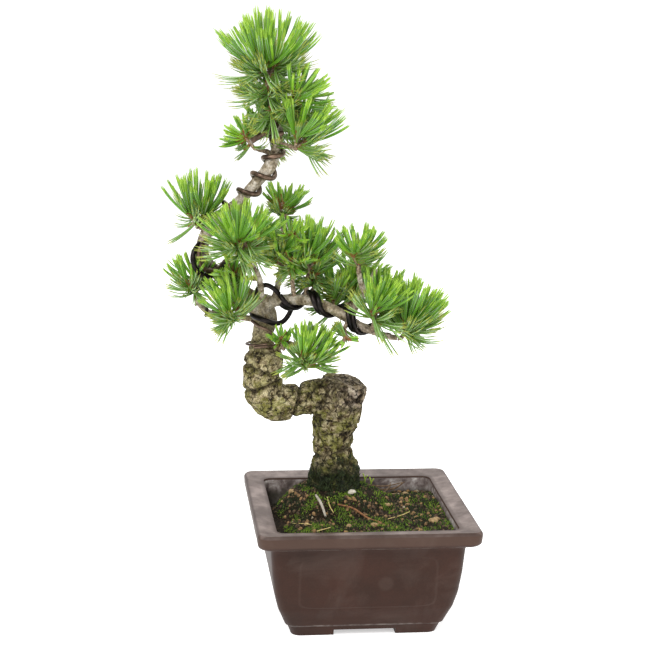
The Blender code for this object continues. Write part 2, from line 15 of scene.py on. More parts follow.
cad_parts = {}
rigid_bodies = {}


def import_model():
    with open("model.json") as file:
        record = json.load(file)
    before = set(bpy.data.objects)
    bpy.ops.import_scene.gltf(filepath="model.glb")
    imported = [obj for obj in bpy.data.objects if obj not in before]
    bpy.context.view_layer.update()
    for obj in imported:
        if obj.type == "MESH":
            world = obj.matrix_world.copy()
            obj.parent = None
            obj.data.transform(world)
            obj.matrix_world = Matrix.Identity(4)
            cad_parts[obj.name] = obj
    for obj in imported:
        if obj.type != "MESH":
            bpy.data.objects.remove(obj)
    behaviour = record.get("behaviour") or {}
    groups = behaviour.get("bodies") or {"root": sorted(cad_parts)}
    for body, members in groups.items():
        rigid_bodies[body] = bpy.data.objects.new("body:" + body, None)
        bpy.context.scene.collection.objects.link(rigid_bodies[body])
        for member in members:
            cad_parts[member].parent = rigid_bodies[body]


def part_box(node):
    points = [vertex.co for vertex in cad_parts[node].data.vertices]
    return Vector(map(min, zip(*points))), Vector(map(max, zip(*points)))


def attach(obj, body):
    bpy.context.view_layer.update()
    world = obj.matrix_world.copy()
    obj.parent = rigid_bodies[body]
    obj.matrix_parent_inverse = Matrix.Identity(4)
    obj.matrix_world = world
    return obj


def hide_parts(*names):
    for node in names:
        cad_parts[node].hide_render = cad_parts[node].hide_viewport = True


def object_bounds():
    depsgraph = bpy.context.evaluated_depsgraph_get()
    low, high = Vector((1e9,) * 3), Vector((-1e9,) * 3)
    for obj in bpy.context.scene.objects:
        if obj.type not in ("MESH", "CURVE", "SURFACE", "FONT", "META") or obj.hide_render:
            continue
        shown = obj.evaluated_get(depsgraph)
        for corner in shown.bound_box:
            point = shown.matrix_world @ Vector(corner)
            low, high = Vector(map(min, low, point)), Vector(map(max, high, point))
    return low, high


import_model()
cad_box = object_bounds()

bl_info = {
    "name": "White pine bonsai",
    "version": (1, 0, 0),
    "blender": (4, 5, 0),
    "location": "3D View > Sidebar > Bonsai",
    "description": "Finishes a white pine bonsai in its stoneware pot",
    "category": "Add Mesh",
}

MM = 0.001
PER_MM = 1000.0
WHITE = (1.0, 1.0, 1.0, 1.0)
POT_LOW, POT_HIGH = (Vector(corner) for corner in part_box("pot"))
HOME = Vector(((POT_LOW.x + POT_HIGH.x) / 2, (POT_LOW.y + POT_HIGH.y) / 2, 0.0))
GOLDEN_ANGLE = math.pi * (3.0 - math.sqrt(5.0))

# Nodes in frequent use, and the settings of a plain mix of colours and of a product of colours
MATH = "ShaderNodeMath"
VECTOR = "ShaderNodeVectorMath"
SPLIT = "ShaderNodeSeparateXYZ"
RANGE = "ShaderNodeMapRange"
RAMP = "ShaderNodeValToRGB"
NOISE = "ShaderNodeTexNoise"
MIX = "ShaderNodeMix"
BLEND = {"data_type": "RGBA"}
TIMES = {"data_type": "RGBA", "blend_type": "MULTIPLY"}

# Pot: heights and half widths from the foot up the outside, over the rim and down the inside
OUTER_PROFILE = ((0.0, 53.0), (8.0, 56.0), (8.8, 57.6), (16.0, 60.5), (22.5, 63.3), (34.0, 66.2),
                 (50.0, 68.4), (68.0, 69.8), (71.5, 71.0), (73.0, 77.6), (75.0, 79.5),
                 (82.2, 80.0), (84.0, 78.6))
INNER_PROFILE = ((81.8, 65.5), (79.5, 64.6), (40.0, 61.5), (16.0, 54.5), (12.0, 50.5))
POT_HALF = 80.0
POT_WAVER = 0.35
POT_CORNER = 7.0
INNER_CORNER = 6.0
FOOT_HALF = 53.0
FOOT_HEIGHT = 4.5
FOOT_ARCH = 45.0
FOOT_WIDTH = 13.0
RIM_INNER_HALF = 65.5

# Marks on the walls: a faint line round a panel, and a round smudge on the front
PANEL_MIDDLE = 44.0
PANEL_HALF_WIDTH = 48.0
PANEL_HALF_HEIGHT = 19.0
PANEL_SQUARENESS = 10.0
PANEL_LINE = 0.035
SMUDGE_PLACE = (12.5, 0.0, 43.5)
SMUDGE_STRENGTH = 0.05

# Soil: level at the wall and the mound under the trunk
SOIL_LEVEL = 74.0
SOIL_TILT = 3.5
WALL_DIP = 6.0
MOUND_TOP_RADIUS = 20.5
MOUND_FOOT_RADIUS = 52.0
TRUNK_FOOT = (-14.0, 31.0, 86.0)
WALL_POINTS = 18

# Litter on the soil: colours, rise from one point to the next, and runs of x, y and radius
LITTER = (
    ("surface_root", "#4f2f1c", "#a9764a", 0.3,
     (((-15.0, -2.0, 0.6), (-4.0, -6.0, 0.8), (6.0, -16.0, 0.7), (14.0, -30.0, 0.4)),)),
    ("pale_stick", "#8f8678", "#c9c2b4", 0.3,
     (((-30.0, 10.0, 0.9), (-27.0, -1.0, 1.1), (-25.0, -12.0, 0.8)),)),
    ("dry_twigs", "#3a2a1c", "#7c6244", 5.0,
     (((22.0, 38.0, 0.6), (34.0, 42.0, 0.8), (44.0, 52.0, 0.5)),
      ((24.0, 30.0, 0.4), (30.0, 40.0, 0.6), (33.0, 50.0, 0.4)),
      ((12.0, 34.0, 0.4), (26.0, 37.0, 0.5), (40.0, 38.0, 0.4)))),
    ("straws", "#a8914c", "#d8c88a", 0.8,
     (((-50.0, -10.0, 0.35), (-43.0, -18.0, 0.4), (-37.0, -27.0, 0.3)),
      ((-22.0, 6.0, 0.35), (-21.0, -4.0, 0.4), (-19.0, -11.0, 0.3)),
      ((-44.0, -44.0, 0.35), (-34.0, -38.0, 0.4), (-24.0, -35.0, 0.3)),
      ((20.0, -20.0, 0.3), (30.0, -17.0, 0.35), (38.0, -10.0, 0.3)))),
    ("seedlings", "#8fae2a", "#b9d24a", 3.5,
     (((12.0, 47.0, 0.35), (12.2, 47.2, 0.35), (10.5, 47.5, 0.5)),
      ((12.2, 47.2, 0.3), (12.4, 47.0, 0.3), (14.0, 46.5, 0.5)),
      ((17.0, 48.0, 0.35), (17.2, 48.2, 0.35), (16.0, 48.5, 0.5)),
      ((17.2, 48.2, 0.3), (17.4, 48.0, 0.3), (19.0, 47.5, 0.5)))),
)

# Single stones: colours, and places with their radius
STONES = {
    "white_pebble": ("#a09886", "#d8d2c4", ((-3.0, 11.0, 2.6),)),
    "tan_stones": ("#6e5637", "#b89c70", ((52.0, -34.0, 2.8), (55.0, -28.0, 2.0), (44.0, 46.0, 2.6),
                                          (-40.0, -20.0, 1.8), (8.0, -34.0, 2.4), (24.0, 8.0, 1.8),
                                          (-10.0, -30.0, 1.8), (-46.0, 30.0, 2.4), (34.0, 40.0, 2.0))),
}

# Trunk: landmarks as x, y, z and radius
STUMP_LINE = ((-14.0, 31.0, 86.0, 18.6), (-14.0, 31.0, 99.0, 18.4), (-15.6, 30.5, 112.0, 15.2),
              (-16.0, 30.0, 126.0, 15.2), (-13.0, 29.0, 142.0, 18.0), (-9.5, 27.5, 158.0, 19.6),
              (-7.5, 27.0, 168.0, 18.6), (-6.5, 26.5, 174.5, 14.0))
LEDGE_LINE = ((-12.0, 28.0, 159.0, 15.5), (-30.0, 24.5, 158.0, 13.2), (-43.0, 21.0, 157.0, 11.6),
              (-56.0, 18.0, 154.5, 13.8), (-68.0, 16.0, 158.0, 12.6), (-75.0, 15.5, 162.0, 8.0))
LEADER_LINE = ((-66.0, 16.0, 151.5, 8.0), (-69.5, 15.5, 162.0, 14.0), (-71.0, 15.0, 177.0, 14.4),
               (-70.0, 16.0, 191.0, 14.0), (-71.0, 17.0, 198.5, 9.8), (-71.0, 17.0, 206.0, 7.4),
               (-70.0, 18.0, 222.0, 9.2), (-84.0, 20.0, 237.0, 5.7), (-101.0, 23.5, 248.5, 5.1),
               (-113.0, 23.0, 261.0, 4.8), (-115.0, 20.0, 273.0, 4.5), (-108.0, 14.0, 290.0, 4.2),
               (-91.0, 7.0, 305.0, 3.9), (-76.5, 2.5, 322.0, 4.1), (-68.0, 1.0, 333.0, 4.8),
               (-64.0, 1.0, 346.0, 3.2), (-62.0, 3.0, 358.0, 2.8), (-69.0, 1.0, 379.0, 2.2))
PRUNED_STUB = ((-70.0, 16.0, 222.0, 4.2), (-68.5, 15.0, 236.5, 4.4))
CUT_PRONG = ((0.0, -6.0, 242.5, 2.2), (5.0, -3.5, 249.0, 1.8), (9.0, -1.0, 258.5, 1.9))
BOUGHS = {
    "right_bough": ((-69.0, 16.0, 229.0, 4.8), (-60.0, 10.5, 233.5, 4.3), (-38.0, 2.0, 235.0, 3.9),
                    (-19.0, -6.5, 228.5, 3.6), (-3.0, -11.0, 219.5, 3.1), (11.0, -14.0, 213.5, 2.5),
                    (24.0, -17.0, 211.0, 1.9)),
    "fork_twig": ((-8.5, -8.5, 226.0, 2.7), (-3.5, -7.0, 237.0, 2.5), (0.0, -6.0, 242.5, 2.5),
                  (-2.5, -6.5, 250.0, 2.0), (-4.0, -7.0, 257.0, 1.8)),
    "upper_twig": ((-63.0, 12.0, 234.0, 2.6), (-59.5, 12.0, 250.0, 2.2), (-57.0, 15.0, 268.0, 2.0),
                   (-57.0, 20.0, 286.0, 1.7)),
    "front_twig": ((-72.0, 17.0, 229.0, 2.8), (-73.5, 4.0, 243.0, 2.4), (-77.0, -6.0, 256.0, 2.1),
                   (-86.0, -16.0, 268.0, 1.8)),
    "left_twig": ((-74.0, 20.0, 217.5, 2.8), (-90.0, 26.0, 218.5, 2.3), (-108.0, 27.5, 220.5, 2.2),
                  (-117.0, 24.0, 228.0, 2.0), (-119.0, 22.5, 233.5, 1.8)),
    "low_twig": ((-64.0, 13.0, 196.0, 3.0), (-53.0, 3.0, 203.0, 2.4), (-47.0, -6.0, 199.5, 2.2),
                 (-45.0, -10.0, 195.0, 1.9)),
}

# Training wires: wire radius, host limb, start and end along it, turns, start angle, strands
BRONZE_FROM = 285.0
BRONZE_BLEND = 15.0
STRAND_OFFSET = 0.95
WIRE_GAP = 0.3
WIRE_SIDES = 12
WIRES = {
    "crown_wire": (1.9, "leader", 0.655, 0.91, 4.4, 0.3, 1),
    "bough_wire": (1.9, "right_bough", 0.14, 0.84, 2.7, 2.6, 2),
    "left_twig_wire": (1.0, "left_twig", 0.34, 0.9, 2.6, 1.0, 1),
    "ring_wire": (0.9, "leader", 0.1765, 0.182, 1.12, 3.4, 1),
}

# Wire that the solids leave out: radius, height from which it is bronze, and its own places
BENT_WIRES = {
    "left_bend": (1.9, BRONZE_FROM, (
        (-111.6, 27, 277.5), (-117.0, 17, 274.6), (-121.3, 11, 269.7), (-122.4, 9.5, 263.4),
        (-120.1, 9.5, 256.8), (-115.4, 10.5, 252.3), (-109.2, 12, 251.3), (-103.3, 14, 253.9),
        (-98.8, 18, 258.3), (-95.5, 26, 262.2))),
    "inner_bend": (1.7, 0.0, (
        (-108.7, 26, 275.4), (-113.1, 15, 276.0), (-117.4, 11, 271.2), (-118.2, 10.5, 264.0),
        (-115.4, 11.5, 257.6), (-109.9, 13, 254.8), (-104.0, 15, 256.3), (-98.6, 22, 260.6))),
    "fork": (1.9, BRONZE_FROM, (
        (-79.2, 22.0, 222.7), (-77.7, 12.0, 221.3), (-70.8, 6.5, 219.8), (-63.4, 7.5, 217.2),
        (-57.3, 9.0, 217.7), (-52.9, 10.0, 222.3), (-50.7, 8.0, 228.9), (-51.0, 12.0, 233.5))),
    "under_fork": (1.2, 0.0, (
        (-78.8, 17.0, 216.9), (-74.2, 8.5, 214.8), (-66.9, 8.0, 211.3), (-61.1, 11.0, 205.9),
        (-59.2, 20.0, 201.2))),
    "stub": (1.8, BRONZE_FROM, (
        (-77.4, 13.0, 234.8), (-75.5, 10.0, 241.7), (-69.9, 8.5, 245.3), (-64.0, 8.5, 242.7),
        (-59.9, 9.5, 238.4))),
    "cut_end": (2.0, BRONZE_FROM, ((-64.0, -3.0, 361.8), (-74.6, -13.0, 356.3), (-83.3, -17.0, 351.1))),
}

# Masses: host limb, from its tip or its side, base of the needles, way they aim, reach,
# half angle of the fan in degrees, shoots, sprays in the fan and low sprays round its foot
MASSES = {
    "apex_needles": ("leader", "tip", (-70, 2, 394), (-0.05, 0.0, 1.0), 54, 52, 4, 30, 7),
    "crown_side_needles": ("leader", "side", (-55, -6, 374), (0.62, -0.2, 0.72), 38, 42, 2, 12, 2),
    "crown_right_needles": ("leader", "side", (-51, -8, 346), (0.42, -0.12, 0.9), 46, 46, 3, 18, 3),
    "crown_left_needles": ("leader", "side", (-79, 11, 344), (-0.62, 0.1, 0.75), 30, 48, 1, 10, 2),
    "crown_back_needles": ("leader", "side", (-66, 17, 351), (0.05, 0.72, 0.68), 38, 55, 2, 13, 3),
    "left_top_needles": ("leader", "side", (-119, 14, 287), (0.03, -0.06, 1.0), 46, 44, 3, 18, 4),
    "front_needles": ("front_twig", "tip", (-90, -20, 273), (-0.03, -0.2, 1.0), 43, 52, 3, 20, 6),
    "upper_needles": ("upper_twig", "tip", (-57, 22, 291), (0.12, 0.1, 1.0), 32, 46, 2, 12, 3),
    "upper_side_needles": ("upper_twig", "side", (-58, 4, 276), (0.55, -0.5, 0.65), 26, 52, 1, 8, 2),
    "middle_needles": ("right_bough", "side", (-39, 8, 256), (0.16, 0.05, 1.0), 45, 38, 3, 16, 4),
    "centre_needles": ("right_bough", "side", (-52, -1, 255), (0.02, -0.35, 0.9), 24, 62, 1, 8, 2),
    "left_tip_needles": ("left_twig", "tip", (-120, 22, 237), (-0.2, 0.0, 1.0), 36, 40, 2, 12, 4),
    "left_low_needles": ("leader", "side", (-91, -8, 223), (-0.42, -0.15, 0.9), 42, 36, 2, 14, 4),
    "shade_needles": ("front_twig", "side", (-86, 3, 252), (-0.75, -0.1, 0.35), 27, 58, 1, 8, 2),
    "right_top_needles": ("fork_twig", "tip", (-4, -7, 261), (0.0, 0.0, 1.0), 36, 44, 2, 14, 3),
    "right_back_needles": ("right_bough", "side", (-18, 18, 226), (0.12, 0.25, 1.0), 39, 48, 2, 14, 2),
    "right_front_needles": ("right_bough", "side", (5, -27, 224), (0.3, -0.2, 1.0), 42, 38, 2, 14, 3),
    "bough_tip_needles": ("right_bough", "tip", (28, -17.5, 213), (0.42, -0.03, 0.9), 49, 34, 3, 18, 5),
    "bough_back_needles": ("right_bough", "side", (17, 8, 226), (0.25, 0.35, 0.9), 38, 46, 2, 12, 2),
    "low_tip_needles": ("low_twig", "tip", (-42.5, -14, 188.5), (0.3, -0.12, 0.92), 39, 38, 3, 17, 5),
    "low_side_needles": ("low_twig", "side", (-57, 0, 200), (-0.2, -0.5, 0.8), 20, 50, 1, 8, 1),
    "back_needles": ("leader", "side", (-78, 48, 262), (0.05, 0.5, 0.85), 42, 54, 2, 16, 4),
    "right_rear_needles": ("right_bough", "side", (0, 32, 236), (0.2, 0.6, 0.75), 40, 52, 2, 14, 3),
}
# Short whorls of old needles that the solids leave out, between the masses
WHORLS = {
    "crown_whorl": ("leader", "side", (-70, 0, 381), (-0.15, -0.3, 0.9), 40, 60, 1, 0, 7),
    "leader_whorl": ("leader", "side", (-66, -2, 366), (-0.3, -0.5, 0.6), 36, 60, 1, 0, 6),
    "under_whorl": ("right_bough", "side", (-14, -10, 216), (0.0, -0.5, -0.2), 18, 40, 1, 2, 2),
    "middle_whorl": ("upper_twig", "side", (-61, 4, 262), (0.1, -0.25, 0.95), 34, 42, 1, 8, 5),
    "bough_whorl": ("right_bough", "side", (-34, 13, 243), (0.0, 0.25, 0.9), 37, 50, 1, 12, 3),
    "behind_whorl": ("right_bough", "side", (-4, 16, 232), (0.1, 0.3, 0.9), 36, 50, 1, 9, 3),
}
TUFTS = {**MASSES, **WHORLS}
SHOOT_LENGTH = 9.0
SHOOT_LEAN = 30.0
FORK_ANGLE = 0.4
STEM_RADIUS = 1.6
ROD_SIDES = 8
FINER_TWIGS = 3
YOUNG_IN_A_SPRAY = 3
OLD_IN_A_SPRAY = 9
NEEDLES_IN_A_BUNDLE = 5
NEEDLE_SEGMENTS = 6
TAPER_POWER = 9.0
TAPER_DEPTH = 0.75
TIP_FROM = 0.9
SHEATH_LENGTH = 8.0
SHEATH_WIDTH = 1.7

# Limits of the tips in x, y and z, a millimetre outside the solids
BOX_LOW, BOX_HIGH = ((Vector(corner) - HOME) / MM for corner in cad_box)
TIP_LIMITS = [(low - 1.0, high + 1.0) for low, high in zip(BOX_LOW, BOX_HIGH)]

# Bark: width of a plate, and folds and wire scars as they run in the view from the front, each
# as its middle x and z, angle in degrees, half its length, depth and half its width
BARK_SEED = 5
PLATE_SIZE = 7.0
LIMB_SIDES = 24
OLD_BARK_TOP = 232.0
OLD_BARK_FADE = 30.0
STUMP_FROM = -42.0
FOOT_MOSS_FROM = -36.0
FOOT_MOSS_TOP = 112.0
FOLDS = ((-70.5, 182.0, -16.0, 22.0, 2.4, 1.5), (-70.5, 170.5, 20.0, 22.0, 2.8, 1.6),
         (-45.0, 156.5, 80.0, 24.0, 3.2, 1.4), (-71.0, 196.0, 6.0, 14.0, 1.4, 1.2),
         (-14.0, 139.0, -10.0, 22.0, 1.6, 1.3), (-12.0, 131.0, 8.0, 18.0, 1.2, 1.0),
         (-14.0, 115.0, 12.0, 24.0, 1.8, 1.6), (-25.0, 158.0, 62.0, 18.0, 1.5, 1.3),
         (-4.0, 160.0, -35.0, 16.0, 1.6, 0.9), (2.0, 163.0, 50.0, 10.0, 1.4, 0.8),
         (6.0, 131.0, 20.0, 14.0, 2.6, 3.5))

# Knuckle: it is pressed in on the right above its foot, and flattened on top right of its left end
KNUCKLE_FOOT = 136.0
KNUCKLE_MIDDLE = 163.0
KNUCKLE_TOP = 170.8
KNUCKLE_SIDE = 3.5
KNUCKLE_LEFT = -36.0
BOUGHS_FROM = 200.0

# Camera, fitted to the corners of the pot
CAMERA_PLACE = (-160.0, -1129.6, 452.2)
CAMERA_PITCH = 11.67
CAMERA_YAW = 6.72
CAMERA_ROLL = 1.15
CAMERA_LENS = 88.6


def kept(value):
    """A value held between 0 and 1."""
    return min(1.0, max(0.0, value))


def linear(hex_colour):
    """sRGB hex colour as a linear RGBA colour."""
    channels = [int(hex_colour[i:i + 2], 16) / 255.0 for i in (1, 3, 5)]
    return [c / 12.92 if c <= 0.04045 else ((c + 0.055) / 1.055) ** 2.4 for c in channels] + [1.0]


def add(tree, kind, *given, out=None, stops=(), **named):
    """A node with its settings and links; gives the output asked for, or the first one in use.

    Values go to the inputs in use, in order. Names with a capital are inputs too, and the others
    are settings of the node. Stops are the places and colours of a colour ramp.
    """
    made = tree.nodes.new(kind)
    for key, value in named.items():
        if key.islower():
            setattr(made, key, value)
    used = [socket for socket in made.inputs if socket.enabled]
    pairs = list(zip(used, given))
    for key, value in named.items():
        if not key.islower():
            label = key.replace("_", " ")
            pairs.append((next(socket for socket in used if socket.name == label), value))
    for socket, value in pairs:
        if isinstance(value, bpy.types.NodeSocket):
            tree.links.new(value, socket)
        else:
            is_colour = isinstance(value, str) and value.startswith("#")
            socket.default_value = linear(value) if is_colour else value
    for stop in stops[2:]:
        made.color_ramp.elements.new(0.5)
    for k, (share, colour) in enumerate(stops):
        element = made.color_ramp.elements[k]
        element.position = share
        element.color = linear(colour) if isinstance(colour, str) else (colour, colour, colour, 1.0)
    return made.outputs[out] if out else next(socket for socket in made.outputs if socket.enabled)


def new_material(name, roughness, **sockets):
    """Material with a Principled shader; gives it with its tree and shader."""
    made = bpy.data.materials.new(name)
    made.use_nodes = True
    shader = made.node_tree.nodes["Principled BSDF"]
    for key, value in {"Roughness": roughness, **sockets}.items():
        shader.inputs[key.replace("_", " ")].default_value = value
    return made, made.node_tree, shader


def give_surface(tree, shader, colour, height, depth_mm):
    """Colour of a finish and its fine relief, as deep as depth_mm."""
    tree.links.new(colour, shader.inputs["Base Color"])
    normal = add(tree, "ShaderNodeBump", Height=height, Strength=1.0, Distance=depth_mm * MM)
    tree.links.new(normal, shader.inputs["Normal"])


def mottle(tree, place, size_mm, detail, rough, stops, distortion=0.0):
    """Cloudy mottling whose patches measure about size_mm, in the colours or greys of its stops."""
    cloud = add(tree, NOISE, place, PER_MM / size_mm, detail, rough, Distortion=distortion)
    return add(tree, RAMP, cloud, stops=stops)


def in_scene(name, data):
    """An object in the scene that shows a mesh, curves, a light or a camera."""
    item = bpy.data.objects.new(name, data)
    bpy.context.scene.collection.objects.link(item)
    return item


def finished(name, mesh, materials, nodes=()):
    """A plain mesh as a finished piece on the body, standing for the solids it covers."""
    item = in_scene(name, mesh)
    for made in materials:
        mesh.materials.append(made)
    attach(item, "root")
    if nodes:
        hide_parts(*nodes)
    return item


def mesh_of(name, points, faces, smooth=True):
    """Mesh in metres from points in millimetres round the middle of the pot."""
    mesh = bpy.data.meshes.new(name)
    mesh.from_pydata([Vector(p) * MM + HOME for p in points], [], faces)
    mesh.update()
    if smooth:
        mesh.shade_smooth()
    return mesh


def plain_mesh(item, name):
    """What an object shows with its modifiers, as a plain mesh; the object is removed."""
    bpy.context.view_layer.update()
    seen = item.evaluated_get(bpy.context.evaluated_depsgraph_get())
    mesh = bpy.data.meshes.new_from_object(seen)
    mesh.name = name
    bpy.data.objects.remove(item)
    return mesh


def loft(rings):
    """Closed skin over rings of equal count, the first at the bottom or the start."""
    count = len(rings[0])
    points = [p for ring in rings for p in ring]
    faces = [tuple(reversed(range(count)))]
    for low in range(0, (len(rings) - 1) * count, count):
        for i in range(count):
            j = (i + 1) % count
            faces.append((low + i, low + j, low + count + j, low + count + i))
    last = (len(rings) - 1) * count
    faces.append(tuple(range(last, last + count)))
    return points, faces


def curve_through(landmarks, step):
    """Smooth line through landmarks of x, y, z and radius, with a point about every step."""
    marks = [np.array(m, float) for m in landmarks]
    marks = [2 * marks[0] - marks[1]] + marks + [2 * marks[-1] - marks[-2]]
    fine = []
    for a, b, c, d in zip(marks, marks[1:], marks[2:], marks[3:]):
        for t in np.linspace(0.0, 1.0, 16, endpoint=False):
            fine.append(0.5 * (2 * b + (c - a) * t + (2 * a - 5 * b + 4 * c - d) * t * t
                               + (3 * b - a - 3 * c + d) * t ** 3))
    fine.append(marks[-2])
    fine = np.array(fine)
    along = np.concatenate([[0.0], np.cumsum(np.linalg.norm(np.diff(fine[:, :3], axis=0), axis=1))])
    places = np.linspace(0.0, along[-1], max(3, round(along[-1] / step) + 1))
    return np.column_stack([np.interp(places, along, fine[:, k]) for k in range(4)])


def frames_along(line):
    """Unit side and up vectors at each point of a line, carried along without twist."""
    tangents = [Vector(t).normalized() for t in np.gradient(line[:, :3], axis=0)]
    side = tangents[0].orthogonal().normalized()
    frames = []
    for before, now in zip([tangents[0]] + tangents, tangents):
        side = before.rotation_difference(now) @ side
        side = (side - now * side.dot(now)).normalized()
        frames.append((side.copy(), now.cross(side)))
    return frames


def tube(line, sides):
    """Round limb along a line of x, y, z and radius."""
    rings = []
    for point, (side, up) in zip(line, frames_along(line)):
        centre = Vector(point[:3])
        turns = [2 * math.pi * i / sides for i in range(sides)]
        rings.append([centre + (side * math.cos(a) + up * math.sin(a)) * float(point[3])
                      for a in turns])
    return loft(rings)


def along_line(line, share):
    """Point and radius at a place from 0 at the start of a line to 1 at its end."""
    steps = np.linalg.norm(np.diff(line[:, :3], axis=0), axis=1)
    along = np.concatenate([[0.0], np.cumsum(steps)])
    return np.array([np.interp(share * along[-1], along, line[:, k]) for k in range(4)])


def limb_lines(step):
    """Every limb of the tree as a smooth line."""
    lines = {"stump": curve_through(STUMP_LINE, step), "ledge": curve_through(LEDGE_LINE, step),
             "leader": curve_through(LEADER_LINE, step), "stub": curve_through(PRUNED_STUB, step),
             "prong": curve_through(CUT_PRONG, step)}
    for name, marks in BOUGHS.items():
        lines[name] = curve_through(marks, step)
    return lines


def rounded_square(half, corner, z, between=1, corner_points=3):
    """Corner arcs of a square ring, with the straight sides split into equal parts."""
    points = []
    for quarter in range(4):
        turn = quarter * math.pi / 2
        spread = [turn + math.pi / 2 * k / (corner_points - 1) for k in range(corner_points)]
        middle = Vector((half - corner, half - corner, 0.0))
        middle.rotate(Quaternion((0, 0, 1), turn))
        arc = [middle + corner * Vector((math.cos(a), math.sin(a), 0.0)) for a in spread]
        points += arc
        after = Vector((-(half - corner), half, 0.0))
        after.rotate(Quaternion((0, 0, 1), turn))
        points += [arc[-1].lerp(after, k / between) for k in range(1, between)]
    return [Vector((p.x, p.y, z)) for p in points]


def rounded_profile(profile, radius):
    """A profile of height and half width with each corner turned into a short arc."""
    marks = [Vector(p) for p in profile]
    made = [marks[0]]
    for before, corner, after in zip(marks, marks[1:], marks[2:]):
        cut = min(radius, (before - corner).length * 0.45, (after - corner).length * 0.45)
        start = corner + (before - corner).normalized() * cut
        end = corner + (after - corner).normalized() * cut
        for t in (0.0, 0.33, 0.67, 1.0):
            made.append(start.lerp(corner, t).lerp(corner.lerp(end, t), t))
    return made + [marks[-1]]


def soil_height(x, y):
    """Uneven level, lowest at the back left, rising to a mound under the trunk."""
    level = SOIL_LEVEL + SOIL_TILT * (x - 0.25 * y) / RIM_INNER_HALF
    level += 0.7 * math.sin(0.17 * x + 0.6) * math.sin(0.21 * y + 1.1)
    level -= WALL_DIP * kept((y - 34.0) / 24.0)
    level -= 0.7 * WALL_DIP * kept((-x - 40.0) / 18.0)
    distance = math.hypot(x - TRUNK_FOOT[0], y - TRUNK_FOOT[1])
    share = kept((MOUND_FOOT_RADIUS - distance) / (MOUND_FOOT_RADIUS - MOUND_TOP_RADIUS))
    return level + (TRUNK_FOOT[2] - 0.3 - level) * share * share * (3.0 - 2.0 * share)


def inner_half(z):
    """Half width of the hollow of the pot at a height."""
    heights = [p[0] for p in reversed(INNER_PROFILE)]
    halves = [p[1] for p in reversed(INNER_PROFILE)]
    return float(np.interp(z, heights, halves))


